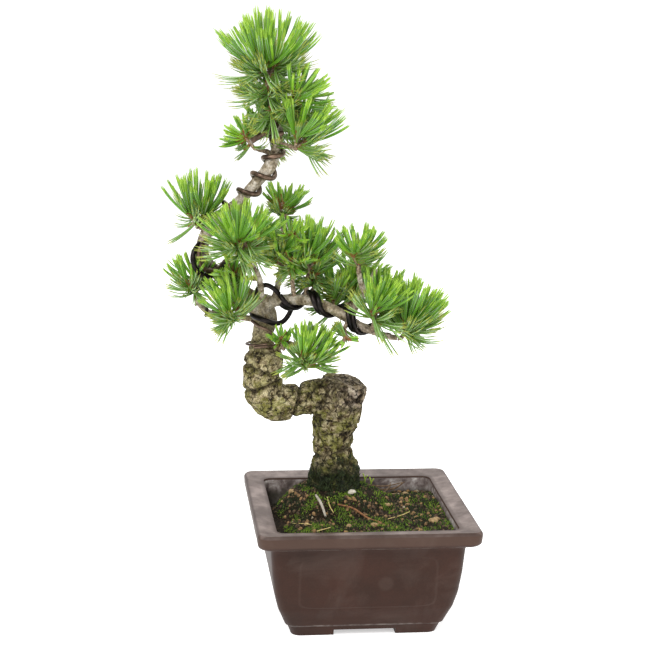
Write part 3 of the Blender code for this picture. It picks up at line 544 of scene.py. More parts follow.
def stoneware_finish(settings):
    """Unglazed brown stoneware: dark even body with faint panels, and a paler, mauve, worn rim with a
    painted highlight on its front.
    """
    made, tree, shader = new_material("unglazed brown stoneware", 0.5, Specular_IOR_Level=0.2)
    place = add(tree, "ShaderNodeTexCoord", out="Object")
    centred = add(tree, VECTOR, place, HOME, operation="SUBTRACT")
    folded = add(tree, VECTOR, centred, operation="ABSOLUTE")
    across, along, height = add(tree, SPLIT, folded).node.outputs

    # Faint line round a panel on every wall, and a round smudge on the front
    sideways = add(tree, MATH, across, along, operation="MINIMUM")
    sideways = add(tree, MATH, sideways, PANEL_HALF_WIDTH * MM, operation="DIVIDE")
    upward = add(tree, MATH, height, PANEL_MIDDLE * MM, operation="SUBTRACT")
    upward = add(tree, MATH, upward, operation="ABSOLUTE")
    upward = add(tree, MATH, upward, PANEL_HALF_HEIGHT * MM, operation="DIVIDE")
    sideways = add(tree, MATH, sideways, PANEL_SQUARENESS, operation="POWER")
    upward = add(tree, MATH, upward, PANEL_SQUARENESS, operation="POWER")
    panel = add(tree, MATH, sideways, upward, operation="ADD")
    panel = add(tree, MATH, panel, 1.0 / PANEL_SQUARENESS, operation="POWER")
    inside = add(tree, RANGE, panel, 1.04, 1.0)
    edge = add(tree, MATH, panel, 1.02, operation="SUBTRACT")
    edge = add(tree, MATH, edge, operation="ABSOLUTE")
    edge = add(tree, RANGE, edge, 0.03, 0.0, To_Max=PANEL_LINE)
    smudge = add(tree, VECTOR, centred, (1.0, 0.0, 1.0), operation="MULTIPLY")
    smudge = add(tree, VECTOR, smudge, Vector(SMUDGE_PLACE) * MM, operation="DISTANCE")
    smudge = add(tree, RANGE, smudge, 6.4 * MM, 4.2 * MM, To_Max=SMUDGE_STRENGTH)
    marks = add(tree, MATH, edge, smudge, operation="ADD")

    # Body in two near browns with fine speckle
    body = mottle(tree, place, 30.0, 4.0, 0.55, ((0.3, settings.dark_hex), (0.75, settings.body_hex)))
    speckle = mottle(tree, place, 1.2, 2.0, 0.55, ((0.35, 0.82), (0.7, 1.1)))
    body = add(tree, MIX, 0.5, body, speckle, **TIMES)
    body = add(tree, MIX, marks, body, "#85766d", **BLEND)

    # Paler mauve top of the rim, its front paler than the body as its own tone and a painted highlight, its
    # edge worn dark
    top = add(tree, RANGE, height, 81.6 * MM, 82.3 * MM)
    rim = mottle(tree, place, 18.0, 5.0, 0.6, ((0.36, "#54453f"), (0.5, "#6f605a"), (0.64, "#8b7c76")))
    colour = add(tree, MIX, add(tree, MATH, top, 0.95, operation="MULTIPLY"), body, rim, **BLEND)
    # Front of the rim: its own paler tone, with a painted highlight over it
    rim_front_tone_and_highlight = add(tree, MATH, add(tree, RANGE, height, 74.0 * MM, 76.0 * MM), top, operation="SUBTRACT")
    colour = add(tree, MIX, add(tree, MATH, rim_front_tone_and_highlight, 0.7, operation="MULTIPLY"), colour, "#4a382f", **BLEND)
    outward = add(tree, MATH, across, along, operation="MAXIMUM")
    worn = add(tree, RANGE, outward, 77.4 * MM, 78.8 * MM, To_Max=0.75)
    colour = add(tree, MIX, add(tree, MATH, worn, top, operation="MULTIPLY"), colour, "#33231c", **BLEND)

    # Lime left by hard water under the rim and over the feet, and a thin bloom on the walls
    line = add(tree, MATH, add(tree, RANGE, height, 70.0 * MM, 71.5 * MM),
               add(tree, RANGE, height, 72.0 * MM, 73.5 * MM), operation="SUBTRACT")
    foot = add(tree, MATH, add(tree, RANGE, height, 7.6 * MM, 8.4 * MM),
               add(tree, RANGE, height, 8.6 * MM, 10.0 * MM), operation="SUBTRACT")
    lime = mottle(tree, place, 9.0, 6.0, 0.7, ((0.42, 0.0), (0.62, 0.45)))
    lime = add(tree, MIX, 1.0, lime, add(tree, MATH, line, foot, operation="MAXIMUM"), **TIMES)
    colour = add(tree, MIX, lime, colour, "#a59d96", **BLEND)
    bloom = mottle(tree, place, 40.0, 8.0, 0.6, ((0.5, 0.0), (0.7, 0.1)), distortion=0.6)
    colour = add(tree, MIX, bloom, colour, "#7d6f67", **BLEND)
    grain = add(tree, MATH, add(tree, NOISE, place, PER_MM / 2.5, 6.0, 0.6),
                add(tree, MATH, inside, 1.5, operation="MULTIPLY"), operation="ADD")
    give_surface(tree, shader, colour, grain, 0.12)
    return made


def inner_wall_finish():
    """Same clay inside the rim, whitened by hard water and greened near the soil."""
    made, tree, shader = new_material("lime-washed inner wall", 0.7)
    place = add(tree, "ShaderNodeTexCoord", out="Object")
    z = add(tree, SPLIT, place, out="Z")
    stain = mottle(tree, place, 9.0, 7.0, 0.65,
                   ((0.36, "#463b37"), (0.47, "#6d605c"), (0.57, "#938985"),
                    (0.68, "#c4beba")), distortion=0.4)
    damp = add(tree, RANGE, z, 74.5 * MM, 69.5 * MM, To_Max=0.75)
    stain = add(tree, MIX, damp, stain, "#2b2a1a", **BLEND)
    give_surface(tree, shader, stain, add(tree, NOISE, place, PER_MM / 1.6, 6.0, 0.55), 0.2)
    return made


def bark_finish(settings):
    """Old pine bark: tan plates, dark cracks, painted shade in the hollows, green algae low down and
    smoother grey above.
    """
    made, tree, shader = new_material("old pine bark", 0.88, Specular_IOR_Level=0.2)
    place = add(tree, "ShaderNodeTexCoord", out="Object")
    x = add(tree, SPLIT, place, out="X")
    z = add(tree, SPLIT, place, out="Z")

    # Tan plates low down, browner ones on the knuckle and pale grey skin on the boughs
    plates = mottle(tree, place, 5.5, 10.0, 0.8,
                    ((0.37, "#231a0e"), (0.44, "#5b4c31"), (0.5, settings.plate_hex), (0.56, "#b8ab84"),
                     (0.66, "#dcd3b2")), distortion=0.4)
    brown = mottle(tree, place, 6.5, 10.0, 0.75,
                   ((0.36, "#3b2f24"), (0.44, "#7b6957"), (0.52, "#a19080"), (0.64, "#bfb2a4")))
    knuckle = add(tree, MATH, add(tree, RANGE, x, HOME.x - 26.0 * MM, HOME.x - 8.0 * MM),
                  add(tree, RANGE, z, 146.0 * MM, 156.0 * MM, To_Max=0.8), operation="MULTIPLY")
    plates = add(tree, MIX, knuckle, plates, brown, **BLEND)
    pale = mottle(tree, place, 5.0, 8.0, 0.62,
                  ((0.36, "#5d5040"), (0.45, "#93866f"), (0.55, "#b5aa99"), (0.68, "#d0c8ba")))
    colour = add(tree, MIX, add(tree, RANGE, z, 205.0 * MM, 240.0 * MM), plates, pale, **BLEND)

    # Green film of algae on the stump and the ledge, but not on the knuckle
    algae = mottle(tree, place, 9.0, 9.0, 0.75, ((0.46, 0.0), (0.56, 0.9)), distortion=0.5)
    low = add(tree, MATH, add(tree, RANGE, z, 225.0 * MM, 150.0 * MM, To_Max=0.75),
              add(tree, MATH, 1.0, knuckle, operation="SUBTRACT"), operation="MULTIPLY")
    colour = add(tree, MIX, add(tree, MIX, 1.0, algae, low, **TIMES), colour, settings.algae_hex, **BLEND)

    # Painted shade in the hollows of the relief, and torn cracks too fine for the mesh
    hollow = add(tree, "ShaderNodeAttribute", attribute_name="hollow_shade", out="Fac")
    hollow = add(tree, MATH, hollow, 0.8, operation="MULTIPLY")
    colour = add(tree, MIX, hollow, colour, "#251b10", **BLEND)
    drift = add(tree, NOISE, place, PER_MM / 6.25, 5.0, 0.7, out="Color")
    drift = add(tree, VECTOR, drift, 9.0 * MM, operation="SCALE")
    torn = add(tree, VECTOR, place, drift, operation="ADD")
    lines = add(tree, "ShaderNodeTexVoronoi", torn, PER_MM / 6.0, feature="DISTANCE_TO_EDGE")
    lines = add(tree, RANGE, lines, 0.1, 0.04)
    broken = mottle(tree, place, 7.0, 4.0, 0.6, ((0.42, 0.0), (0.52, 1.0)))
    lines = add(tree, MIX, 1.0, broken, lines, **TIMES)
    lines = add(tree, MIX, 1.0, lines, add(tree, RANGE, z, 238.0 * MM, 190.0 * MM, To_Max=0.9), **TIMES)
    colour = add(tree, MIX, lines, colour, "#1a1209", **BLEND)

    # Damp dark foot, and a fine light and dark grain over all
    tuft = mottle(tree, place, 8.0, 6.0, 0.7, ((0.3, 0.4), (0.5, 1.0)))
    foot = add(tree, MIX, 1.0, add(tree, RANGE, z, 114.0 * MM, 99.0 * MM), tuft, **TIMES)
    damp = mottle(tree, place, 2.2, 4.0, 0.55, ((0.35, "#0f1108"), (0.6, "#232b0e"), (0.8, "#46521a")))
    colour = add(tree, MIX, foot, colour, damp, **BLEND)
    grain = mottle(tree, place, 1.4, 5.0, 0.7, ((0.4, 0.3), (0.6, 1.25)))
    colour = add(tree, MIX, 0.6, colour, grain, **TIMES)
    raised = add(tree, MATH, add(tree, NOISE, place, PER_MM / 1.8, 8.0, 0.75),
                 add(tree, MATH, lines, 0.6, operation="MULTIPLY"), operation="SUBTRACT")
    give_surface(tree, shader, colour, raised, 0.9)
    return made


def twig_finish():
    """Young pine shoots: brown and scaly."""
    made, tree, shader = new_material("scaly pine twig", 0.8)
    place = add(tree, "ShaderNodeTexCoord", out="Object")
    colour = mottle(tree, place, 1.5, 5.0, 0.55, ((0.36, "#4f4030"), (0.5, "#83705a"), (0.66, "#ab9a82")))
    scales = add(tree, "ShaderNodeTexVoronoi", place, PER_MM * 0.9)
    give_surface(tree, shader, colour, scales, 0.3)
    return made


def wire_finish(settings, bronze_from):
    """Anodised aluminium training wire: black or bronze satin metal with a soft streaky highlight."""
    made, tree, shader = new_material("brown anodised aluminium", 0.34, Metallic=0.75)
    place = add(tree, "ShaderNodeTexCoord", out="Object")
    z = add(tree, SPLIT, place, out="Z")
    wear = add(tree, NOISE, place, PER_MM / 6.0, 4.0, 0.55)
    bronze = add(tree, RAMP, wear, stops=((0.35, "#3a2c23"), (0.65, settings.wire_hex)))
    black = add(tree, RAMP, wear, stops=((0.4, "#100e0e"), (0.65, "#2b2422")))
    share = add(tree, RANGE, z, bronze_from * MM, (bronze_from + BRONZE_BLEND) * MM)
    colour = add(tree, MIX, share, black, bronze, **BLEND)
    give_surface(tree, shader, colour, add(tree, NOISE, place, PER_MM / 0.8, 2.0, 0.55), 0.05)
    return made


def leaf_finish(name, hex_colour, roughness=0.45):
    """Waxy needle skin: one plain green, a soft gloss and a little light through it."""
    return new_material(name, roughness, Base_Color=linear(hex_colour), Specular_IOR_Level=0.35,
                        Subsurface_Weight=0.08, Subsurface_Radius=(0.002, 0.003, 0.001))[0]


def soil_finish():
    """Damp potting soil: near black, with brown crumbs and fine grit."""
    made, tree, shader = new_material("damp potting soil", 0.95, Specular_IOR_Level=0.15)
    place = add(tree, "ShaderNodeTexCoord", out="Object")
    crumbs = mottle(tree, place, 2.6, 8.0, 0.7,
                    ((0.3, "#0d0a06"), (0.5, "#231b11"), (0.66, "#3f3222"), (0.85, "#77644a")))
    give_surface(tree, shader, crumbs, add(tree, NOISE, place, PER_MM / 1.8, 8.0, 0.75), 1.2)
    return made


def ground_finish(name, dark_hex, light_hex, size_mm):
    """Two tones of one natural stuff, mottled and dull."""
    made, tree, shader = new_material(name, 0.85)
    place = add(tree, "ShaderNodeTexCoord", out="Object")
    colour = mottle(tree, place, size_mm, 4.0, 0.55, ((0.3, dark_hex), (0.7, light_hex)))
    give_surface(tree, shader, colour, add(tree, NOISE, place, PER_MM * 3.0 / size_mm, 4.0, 0.55), 0.15)
    return made


def build_pot_mesh():
    """Pot with soft edges, hand-made waver in its walls and four corner feet."""
    rings = []
    for profile, soft, corner in ((OUTER_PROFILE, 1.4, POT_CORNER), (INNER_PROFILE, 1.2, INNER_CORNER)):
        for mark in rounded_profile(profile, soft):
            rings.append(rounded_square(mark.y, corner, mark.x, between=9, corner_points=7))
    for ring in rings:
        for point in ring:
            inward = 1.0 - abs(noise.noise(point / 40.0) * POT_WAVER) / POT_HALF
            point.x *= inward
            point.y *= inward
    item = in_scene("pot shell", mesh_of("pot shell", *loft(rings)))
    group = bpy.data.collections.new("foot cuts")
    reach = FOOT_HALF + 10.0
    for wide, deep in ((FOOT_ARCH / 2, reach), (reach, FOOT_ARCH / 2),
                       (FOOT_HALF - FOOT_WIDTH, FOOT_HALF - FOOT_WIDTH)):
        corners = [(-wide, -deep), (wide, -deep), (wide, deep), (-wide, deep)]
        box = [[Vector((x, y, z)) for x, y in corners] for z in (-5.0, FOOT_HEIGHT)]
        group.objects.link(bpy.data.objects.new("cut", mesh_of("cut", *loft(box), smooth=False)))
    cut = item.modifiers.new("feet", "BOOLEAN")
    cut.operation = "DIFFERENCE"
    cut.operand_type = "COLLECTION"
    cut.collection = group
    mesh = plain_mesh(item, "stoneware_pot")
    for cutter in list(group.objects):
        bpy.data.objects.remove(cutter)
    bpy.data.collections.remove(group)
    mesh.shade_smooth()
    mesh.set_sharp_from_angle(angle=math.radians(45.0))
    return mesh


def folds_at(x, z):
    """Depth of the folds at a place in the view from the front."""
    depth = 0.0
    for middle_x, middle_z, angle, reach, deep, wide in FOLDS:
        turn = math.radians(angle)
        along = (x - middle_x) * math.cos(turn) + (z - middle_z) * math.sin(turn)
        across = (z - middle_z) * math.cos(turn) - (x - middle_x) * math.sin(turn)
        across += 1.3 * noise.noise(Vector((x, z, angle)) / 7.0)
        if abs(along) < reach:
            fade = kept(3.0 * (1.0 - abs(along) / reach))
            depth += deep * fade * math.exp(-(across / wide) ** 2)
    return depth


def bark_depth(point):
    """How far the bark stands out at a point in millimetres, and how much painted shade darkens its
    hollows.
    """
    old = kept((OLD_BARK_TOP - point.z) / OLD_BARK_FADE)
    stump = kept((point.x - STUMP_FROM) / 8.0) * old
    warped = point + noise.noise_vector(point / 10.0) * 4.0
    tall = Vector((warped.x, warped.y, warped.z * 0.6))
    nearest, next_near = noise.voronoi(tall / PLATE_SIZE)[0][:2]
    seam = max(0.0, 1.0 - (next_near - nearest) / 0.24)
    patchy = kept(0.5 + 1.8 * noise.noise(point / 13.0))
    flakes = noise.ridged_multi_fractal(warped / 8.0, 0.9, 2.1, 5, 1.0, 2.0) - 1.1
    lumps = noise.fractal(point / 15.0, 1.0, 2.0, 3)
    pits = noise.fractal(warped / 2.8, 0.7, 2.0, 3)
    fine = stump * (0.95 * flakes - 1.4 * seam * patchy) + old * 0.5 * pits
    fold = folds_at(point.x, point.z) * old
    depth = (old + 0.9 * stump) * lumps + fine - fold + (1.0 - old) * (0.25 * lumps + 0.12 * pits)
    # Painted shade: darker where the fine relief sinks and in the folds
    hollow_shade = old * max(0.0, -fine - 0.2) * 0.9 + 0.3 * fold
    return depth, min(0.95, hollow_shade)


def build_wood_mesh(voxel_mm):
    """Trunk, boughs and stub run together into one skin, with the relief of the bark."""
    whole = bpy.data.meshes.new("wood")
    shape = bmesh.new()
    for name, line in limb_lines(2.5).items():
        points, faces = tube(line, LIMB_SIDES)
        low = [shape.verts.new(p) for p in points]
        for face in faces:
            shape.faces.new([low[i] for i in face])
    shape.to_mesh(whole)
    shape.free()
    item = in_scene("wood", whole)
    skin = item.modifiers.new("skin", "REMESH")
    skin.mode = "VOXEL"
    skin.voxel_size = voxel_mm
    soft = item.modifiers.new("soft", "SMOOTH")
    soft.iterations = 3
    mesh = plain_mesh(item, "pine_bark")
    normals = [v.normal.copy() for v in mesh.vertices]
    # Painted shade of each point, darker where the relief sinks, kept for the bark's colour
    noise.seed_set(BARK_SEED)
    cracks = []
    for vert, normal in zip(mesh.vertices, normals):
        depth, hollow_shade = bark_depth(vert.co)
        cracks.append(hollow_shade)
        made = vert.co + normal * depth
        if made.x > KNUCKLE_SIDE and KNUCKLE_FOOT < made.z < BOUGHS_FROM:
            bulge = math.exp(-((made.z - KNUCKLE_MIDDLE) / 6.0) ** 2)
            made.x = KNUCKLE_SIDE + (made.x - KNUCKLE_SIDE) * (0.35 + 0.5 * bulge)
        if made.x > KNUCKLE_LEFT and made.z < BOUGHS_FROM:
            top = KNUCKLE_TOP - 0.04 * (made.x + 30.0) - 0.5 * max(0.0, made.x + 3.0)
            made.z = min(made.z, top + 2.6 * noise.noise(made / 6.0) + 0.1 * (made.z - top))
        made.z = max(made.z, TRUNK_FOOT[2] - 1.2)
        vert.co = made * MM + HOME
    mesh.attributes.new("hollow_shade", "FLOAT", "POINT").data.foreach_set("value", cracks)
    mesh.update()
    mesh.shade_smooth()
    return mesh


def stem_line(host, from_where, base):
    """Stem from inside its host limb to the base of the needles."""
    target = Vector(base)
    if from_where == "tip":
        root = host[-1]
        way = (Vector(host[-1, :3]) - Vector(host[-2, :3])).normalized()
        reach = 0.5
    else:
        nearest = int(np.argmin(np.linalg.norm(host[:, :3] - np.array(base), axis=1)))
        root = host[nearest]
        axis = Vector(host[min(len(host) - 1, nearest + 1), :3]) - Vector(host[max(0, nearest - 1), :3])
        way = target - Vector(root[:3])
        way = (way - way.project(axis)).normalized()
        reach = 0.45
    start = Vector(root[:3])
    bend = start + way * (target - start).length * reach
    steps = []
    for k in range(9):
        t = k / 8
        spot = start.lerp(bend, t).lerp(bend.lerp(target, t), t)
        steps.append([*spot, STEM_RADIUS * (1.05 - 0.2 * t)])
    return np.array(steps)


def shoots_of(seed, base, aim, count):
    """Short shoots that branch from the end of the stem, each as start, way and length."""
    draw = random.Random(seed)
    aim = Vector(aim).normalized()
    side = aim.orthogonal().normalized()
    shoots = []
    for i in range(count):
        lean = 0.0 if count == 1 else math.radians(SHOOT_LEAN)
        turn = Quaternion(aim, GOLDEN_ANGLE * i + draw.uniform(0.0, 1.0)) @ side
        way = (aim * math.cos(lean) + turn * math.sin(lean)).normalized()
        shoots.append((Vector(base), way, SHOOT_LENGTH * draw.uniform(0.85, 1.15)))
    return shoots


def finer_twigs_of(seed, shoots, aim):
    """Twigs that fork from the end of each shoot, each as start, way and length."""
    draw = random.Random(seed + " finer twigs")
    twigs = []
    for start, way, length in shoots:
        side = way.orthogonal().normalized()
        for i in range(FINER_TWIGS):
            turn = Quaternion(way, GOLDEN_ANGLE * i + draw.uniform(0.0, 1.0)) @ side
            out = (way * math.cos(FORK_ANGLE) + turn * math.sin(FORK_ANGLE) + aim * 0.35).normalized()
            twigs.append((start + way * length * 0.7, out, length * draw.uniform(0.6, 0.85)))
    return twigs


def fan_of(name, row):
    """Way, length and age of every spray, by the rule that the solids follow."""
    aim, reach, spread = row[3:6]
    sprays, low = row[7:]
    draw = random.Random(name)
    aim = Vector(aim).normalized()
    side = aim.orthogonal().normalized()
    fan = []
    for i in range(sprays + low):
        if i < sprays:
            lean = math.radians(spread) * math.sqrt((i + 0.5) / sprays)
            length = reach * draw.uniform(0.9, 1.0)
        else:
            lean = math.radians(draw.uniform(spread + 12.0, 108.0))
            length = reach * draw.uniform(0.5, 0.7)
        turn = Quaternion(aim, GOLDEN_ANGLE * i + draw.uniform(-0.25, 0.25)) @ side
        fan.append((aim * math.cos(lean) + turn * math.sin(lean), length, i / max(1, sprays)))
    return fan


def bundles_of(name, row):
    """Every bundle of needles of a mass: root, way at the root, length, curve at the tip and age."""
    draw = random.Random(name + " bundles")
    base = Vector(row[2])
    aim = Vector(row[3]).normalized()
    upward = (aim + Vector((0.0, 0.0, 1.0))).normalized()
    shoots = shoots_of(name, base, aim, row[6])
    twigs = finer_twigs_of(name, shoots, aim)
    bundles = []
    for way, length, share in fan_of(name, row):
        young = share < 1.0
        for k in range(YOUNG_IN_A_SPRAY if young else OLD_IN_A_SPRAY):
            loose = 0.09 if young else 0.3
            bent = way if young else aim.lerp(way, draw.uniform(0.5, 1.0)).normalized()
            bent = (bent + Vector([draw.gauss(0.0, loose) for axis in range(3)])).normalized()
            carriers = twigs if young else shoots
            carrier = max(carriers, key=lambda t: t[1].dot(bent) + draw.uniform(0.0, 0.2))
            place_on_twig = draw.uniform(0.1, 1.0) if young else draw.uniform(0.0, 1.2)
            root = carrier[0] + carrier[1] * carrier[2] * place_on_twig
            tip = base + bent * length * (draw.uniform(0.84, 1.0) if young else draw.uniform(0.75, 1.2))
            tip = Vector([min(max(c, low), high) for c, (low, high) in zip(tip, TIP_LIMITS)])
            chord = tip - root
            flat = upward - chord.normalized() * upward.dot(chord.normalized())
            curve = flat * chord.length * (draw.uniform(0.18, 0.34) if young else draw.uniform(0.15, 0.4))
            age = 0.5 * share + draw.uniform(-0.2, 0.3) if young else draw.uniform(0.66, 1.0)
            bundles.append((root, (chord - curve).normalized(), (chord - curve).length, curve, age))
    return bundles


def needles_of(name, row):
    """Five needles for each bundle, as root, rotation, length, width, curve and age."""
    draw = random.Random(name + " needles")
    rows = []
    for root, way, length, curve, age in bundles_of(name, row):
        opening = draw.uniform(0.4, 1.2)
        opening += 12.0 * max(0.0, age - 0.5) * draw.uniform(0.5, 1.5)
        opening = math.radians(opening)
        side = way.orthogonal().normalized()
        spin = draw.uniform(0.0, 2 * math.pi)
        for k in range(NEEDLES_IN_A_BUNDLE):
            out = Quaternion(way, spin + 2 * math.pi * k / NEEDLES_IN_A_BUNDLE) @ side
            along = (way * math.cos(opening) + out * math.sin(opening)).normalized()
            across = (-out - along * (-out).dot(along)).normalized()
            turn = Matrix((across, along.cross(across), along)).transposed()
            rows.append((root + out * 0.35, turn.to_euler(), length * draw.uniform(0.93, 1.0),
                         draw.uniform(0.9, 1.1) * (1.0 - 0.3 * max(0.0, age)), curve, age))
    return rows


def points_item(name, rows):
    """Points that carry the rotation, size and droop of each needle."""
    mesh = bpy.data.meshes.new(name)
    mesh.from_pydata([r[0] * MM + HOME for r in rows], [], [])
    for label, values in (("turn", [tuple(r[1]) for r in rows]),
                          ("size", [(r[3], r[3], r[2] * MM) for r in rows]),
                          ("droop", [tuple(r[4] * MM) for r in rows])):
        stored = mesh.attributes.new(label, "FLOAT_VECTOR", "POINT")
        stored.data.foreach_set("vector", [c for value in values for c in value])
    return in_scene(name, mesh)


def new_tree(name, inputs):
    """Geometry node tree with named inputs; gives it with the sockets that come in and the one out."""
    tree = bpy.data.node_groups.new(name, "GeometryNodeTree")
    tree.interface.new_socket("Geometry", in_out="INPUT", socket_type="NodeSocketGeometry")
    for label, kind in inputs:
        tree.interface.new_socket(label, in_out="INPUT", socket_type=kind)
    tree.interface.new_socket("Geometry", in_out="OUTPUT", socket_type="NodeSocketGeometry")
    return tree, tree.nodes.new("NodeGroupInput").outputs, tree.nodes.new("NodeGroupOutput").inputs[0]


def grow(item, tree, values, name):
    """Run a tree on an object with values for its named inputs; gives a plain mesh."""
    modifier = item.modifiers.new("grow", "NODES")
    modifier.node_group = tree
    for socket in tree.interface.items_tree:
        if socket.item_type == "SOCKET" and socket.in_out == "INPUT" and socket.name in values:
            modifier[socket.identifier] = values[socket.name]
    return plain_mesh(item, name)


def grow_piece(name, item, tree, values, nodes=(), smooth=False):
    """Run a tree on an object and set the outcome down as a finished piece."""
    mesh = grow(item, tree, values, name)
    if smooth:
        mesh.shade_smooth()
    finished(name, mesh, [], nodes)


def needle_tree():
    """Three-sided tapering needles set on points, bent by each point's droop."""
    tree, given, result = new_tree("needles on points", (
        ("Width", "NodeSocketFloat"), ("Outer", "NodeSocketMaterial"), ("Banded", "NodeSocketMaterial"),
        ("Tip", "NodeSocketMaterial")))
    needle = add(tree, "GeometryNodeMeshCone", fill_type="TRIANGLE_FAN", Vertices=3, Fill_Segments=1,
                 Side_Segments=NEEDLE_SEGMENTS, Radius_Top=0.5, Radius_Bottom=0.5, Depth=1.0)
    x, y, z = add(tree, SPLIT, add(tree, "GeometryNodeInputPosition")).node.outputs
    taper = add(tree, MATH, z, TAPER_POWER, operation="POWER")
    taper = add(tree, MATH, taper, TAPER_DEPTH, operation="MULTIPLY")
    taper = add(tree, MATH, 1.0, taper, operation="SUBTRACT")
    wide = add(tree, MATH, taper, given["Width"], operation="MULTIPLY")
    slim = add(tree, "ShaderNodeCombineXYZ", add(tree, MATH, x, wide, operation="MULTIPLY"),
               add(tree, MATH, y, wide, operation="MULTIPLY"), z)

    # The two inner faces carry pale bands, and the last tenth is the tip
    facing = add(tree, SPLIT, add(tree, "GeometryNodeInputNormal"))
    inner = add(tree, "FunctionNodeCompare", facing, 0.1, data_type="FLOAT", operation="GREATER_THAN")
    needle = add(tree, "GeometryNodeStoreNamedAttribute", needle, data_type="BOOLEAN", domain="FACE",
                 Name="inner_face", Value=inner)
    needle = add(tree, "GeometryNodeStoreNamedAttribute", needle, data_type="FLOAT", domain="POINT",
                 Name="along", Value=z)
    needle = add(tree, "GeometryNodeSetPosition", needle, Position=slim)
    stored = {label: add(tree, "GeometryNodeInputNamedAttribute", label, data_type=kind)
              for label, kind in (("turn", "FLOAT_VECTOR"), ("size", "FLOAT_VECTOR"),
                                  ("droop", "FLOAT_VECTOR"), ("along", "FLOAT"), ("inner_face", "BOOLEAN"))}
    points = add(tree, "GeometryNodeMeshToPoints", given["Geometry"])
    turn = add(tree, "FunctionNodeEulerToRotation", stored["turn"])
    placed = add(tree, "GeometryNodeInstanceOnPoints", points, Instance=needle, Rotation=turn,
                 Scale=stored["size"])
    real = add(tree, "GeometryNodeRealizeInstances", placed)
    bend = add(tree, MATH, stored["along"], 2.0, operation="POWER")
    bend = add(tree, VECTOR, stored["droop"], bend, operation="SCALE")
    bent = add(tree, "GeometryNodeSetPosition", real, Offset=bend)
    skin = add(tree, "GeometryNodeSetMaterial", bent, Material=given["Outer"])
    skin = add(tree, "GeometryNodeSetMaterial", skin, stored["inner_face"], given["Banded"])
    far = add(tree, "FunctionNodeCompare", stored["along"], TIP_FROM, data_type="FLOAT",
              operation="GREATER_THAN")
    skin = add(tree, "GeometryNodeSetMaterial", skin, far, given["Tip"])
    tree.links.new(skin, result)
    return tree


def sheath_tree():
    """Small brown cone round the root of each bundle."""
    tree, given, result = new_tree("sheaths on points", (("Skin", "NodeSocketMaterial"),))
    cone = add(tree, "GeometryNodeMeshCone", fill_type="TRIANGLE_FAN", Vertices=6, Side_Segments=2,
               Radius_Top=0.35, Radius_Bottom=0.62, Depth=1.0)
    turn, size = (add(tree, "GeometryNodeInputNamedAttribute", label, data_type="FLOAT_VECTOR")
                  for label in ("turn", "size"))
    points = add(tree, "GeometryNodeMeshToPoints", given["Geometry"])
    turn = add(tree, "FunctionNodeEulerToRotation", turn)
    placed = add(tree, "GeometryNodeInstanceOnPoints", points, Instance=cone, Rotation=turn, Scale=size)
    real = add(tree, "GeometryNodeRealizeInstances", placed)
    tree.links.new(add(tree, "GeometryNodeSetMaterial", real, Material=given["Skin"]), result)
    return tree


def rod_tree():
    """Round rod along every curve, as thick as each point's radius says, with closed ends."""
    tree, given, result = new_tree("rods along curves", (("Sides", "NodeSocketInt"),
                                                         ("Skin", "NodeSocketMaterial")))
    ring = add(tree, "GeometryNodeCurvePrimitiveCircle", given["Sides"], Radius=1.0)
    radius = add(tree, "GeometryNodeInputNamedAttribute", "radius", data_type="FLOAT")
    rod = add(tree, "GeometryNodeCurveToMesh", given["Geometry"], ring, radius, True)
    real = add(tree, "GeometryNodeRealizeInstances", rod)
    tree.links.new(add(tree, "GeometryNodeSetMaterial", real, Material=given["Skin"]), result)
    return tree


def cover_tree(kind):
    """Small things strewn over a surface by its own share: leaves of moss or grains of grit."""
    tree, given, result = new_tree(kind + " over soil", (
        ("Density", "NodeSocketFloat"), ("Seed", "NodeSocketInt"), ("Smallest", "NodeSocketFloat"),
        ("Largest", "NodeSocketFloat"), ("Skin", "NodeSocketMaterial")))
    share = add(tree, "GeometryNodeInputNamedAttribute", kind, data_type="FLOAT")
    density = add(tree, MATH, share, given["Density"], operation="MULTIPLY")
    strewn = add(tree, "GeometryNodeDistributePointsOnFaces", given["Geometry"], Density=density,
                 Seed=given["Seed"])
    if kind == "grit":
        thing = add(tree, "GeometryNodeMeshIcoSphere", Radius=0.5, Subdivisions=2)
        tilt = Vector((3.1, 3.1, 3.1))
    else:
        thing = add(tree, "GeometryNodeMeshCone", fill_type="TRIANGLE_FAN", Vertices=3, Side_Segments=1,
                    Radius_Top=0.0, Radius_Bottom=0.26, Depth=1.0)
        tilt = Vector((0.75, 0.75, 6.28))
    turn = add(tree, "FunctionNodeRandomValue", -tilt, tilt, data_type="FLOAT_VECTOR", Seed=given["Seed"])
    turn = add(tree, "FunctionNodeEulerToRotation", turn)
    size = add(tree, "FunctionNodeRandomValue", given["Smallest"], given["Largest"], data_type="FLOAT",
               Seed=given["Seed"])
    placed = add(tree, "GeometryNodeInstanceOnPoints", strewn, Instance=thing, Rotation=turn, Scale=size)
    last = add(tree, "GeometryNodeRealizeInstances", placed)
    if kind == "grit":
        waver = add(tree, NOISE, add(tree, "GeometryNodeInputPosition"), 420.0, 1.0, out="Color")
        waver = add(tree, VECTOR, waver, (0.5, 0.5, 0.5), operation="SUBTRACT")
        waver = add(tree, VECTOR, waver, 3.0 * MM, operation="SCALE")
        last = add(tree, "GeometryNodeSetPosition", last, Offset=waver)
    tree.links.new(add(tree, "GeometryNodeSetMaterial", last, Material=given["Skin"]), result)
    return tree


def curves_item(name, lines):
    """Curve object with one open line for each list of x, y, z and radius in millimetres."""
    data = bpy.data.curves.new(name, "CURVE")
    data.dimensions = "3D"
    for line in lines:
        spline = data.splines.new("POLY")
        spline.points.add(len(line) - 1)
        for point, row in zip(spline.points, line):
            point.co = (*(Vector(row[:3]) * MM + HOME), 1.0)
            point.radius = float(row[3]) * MM
    return in_scene(name, data)


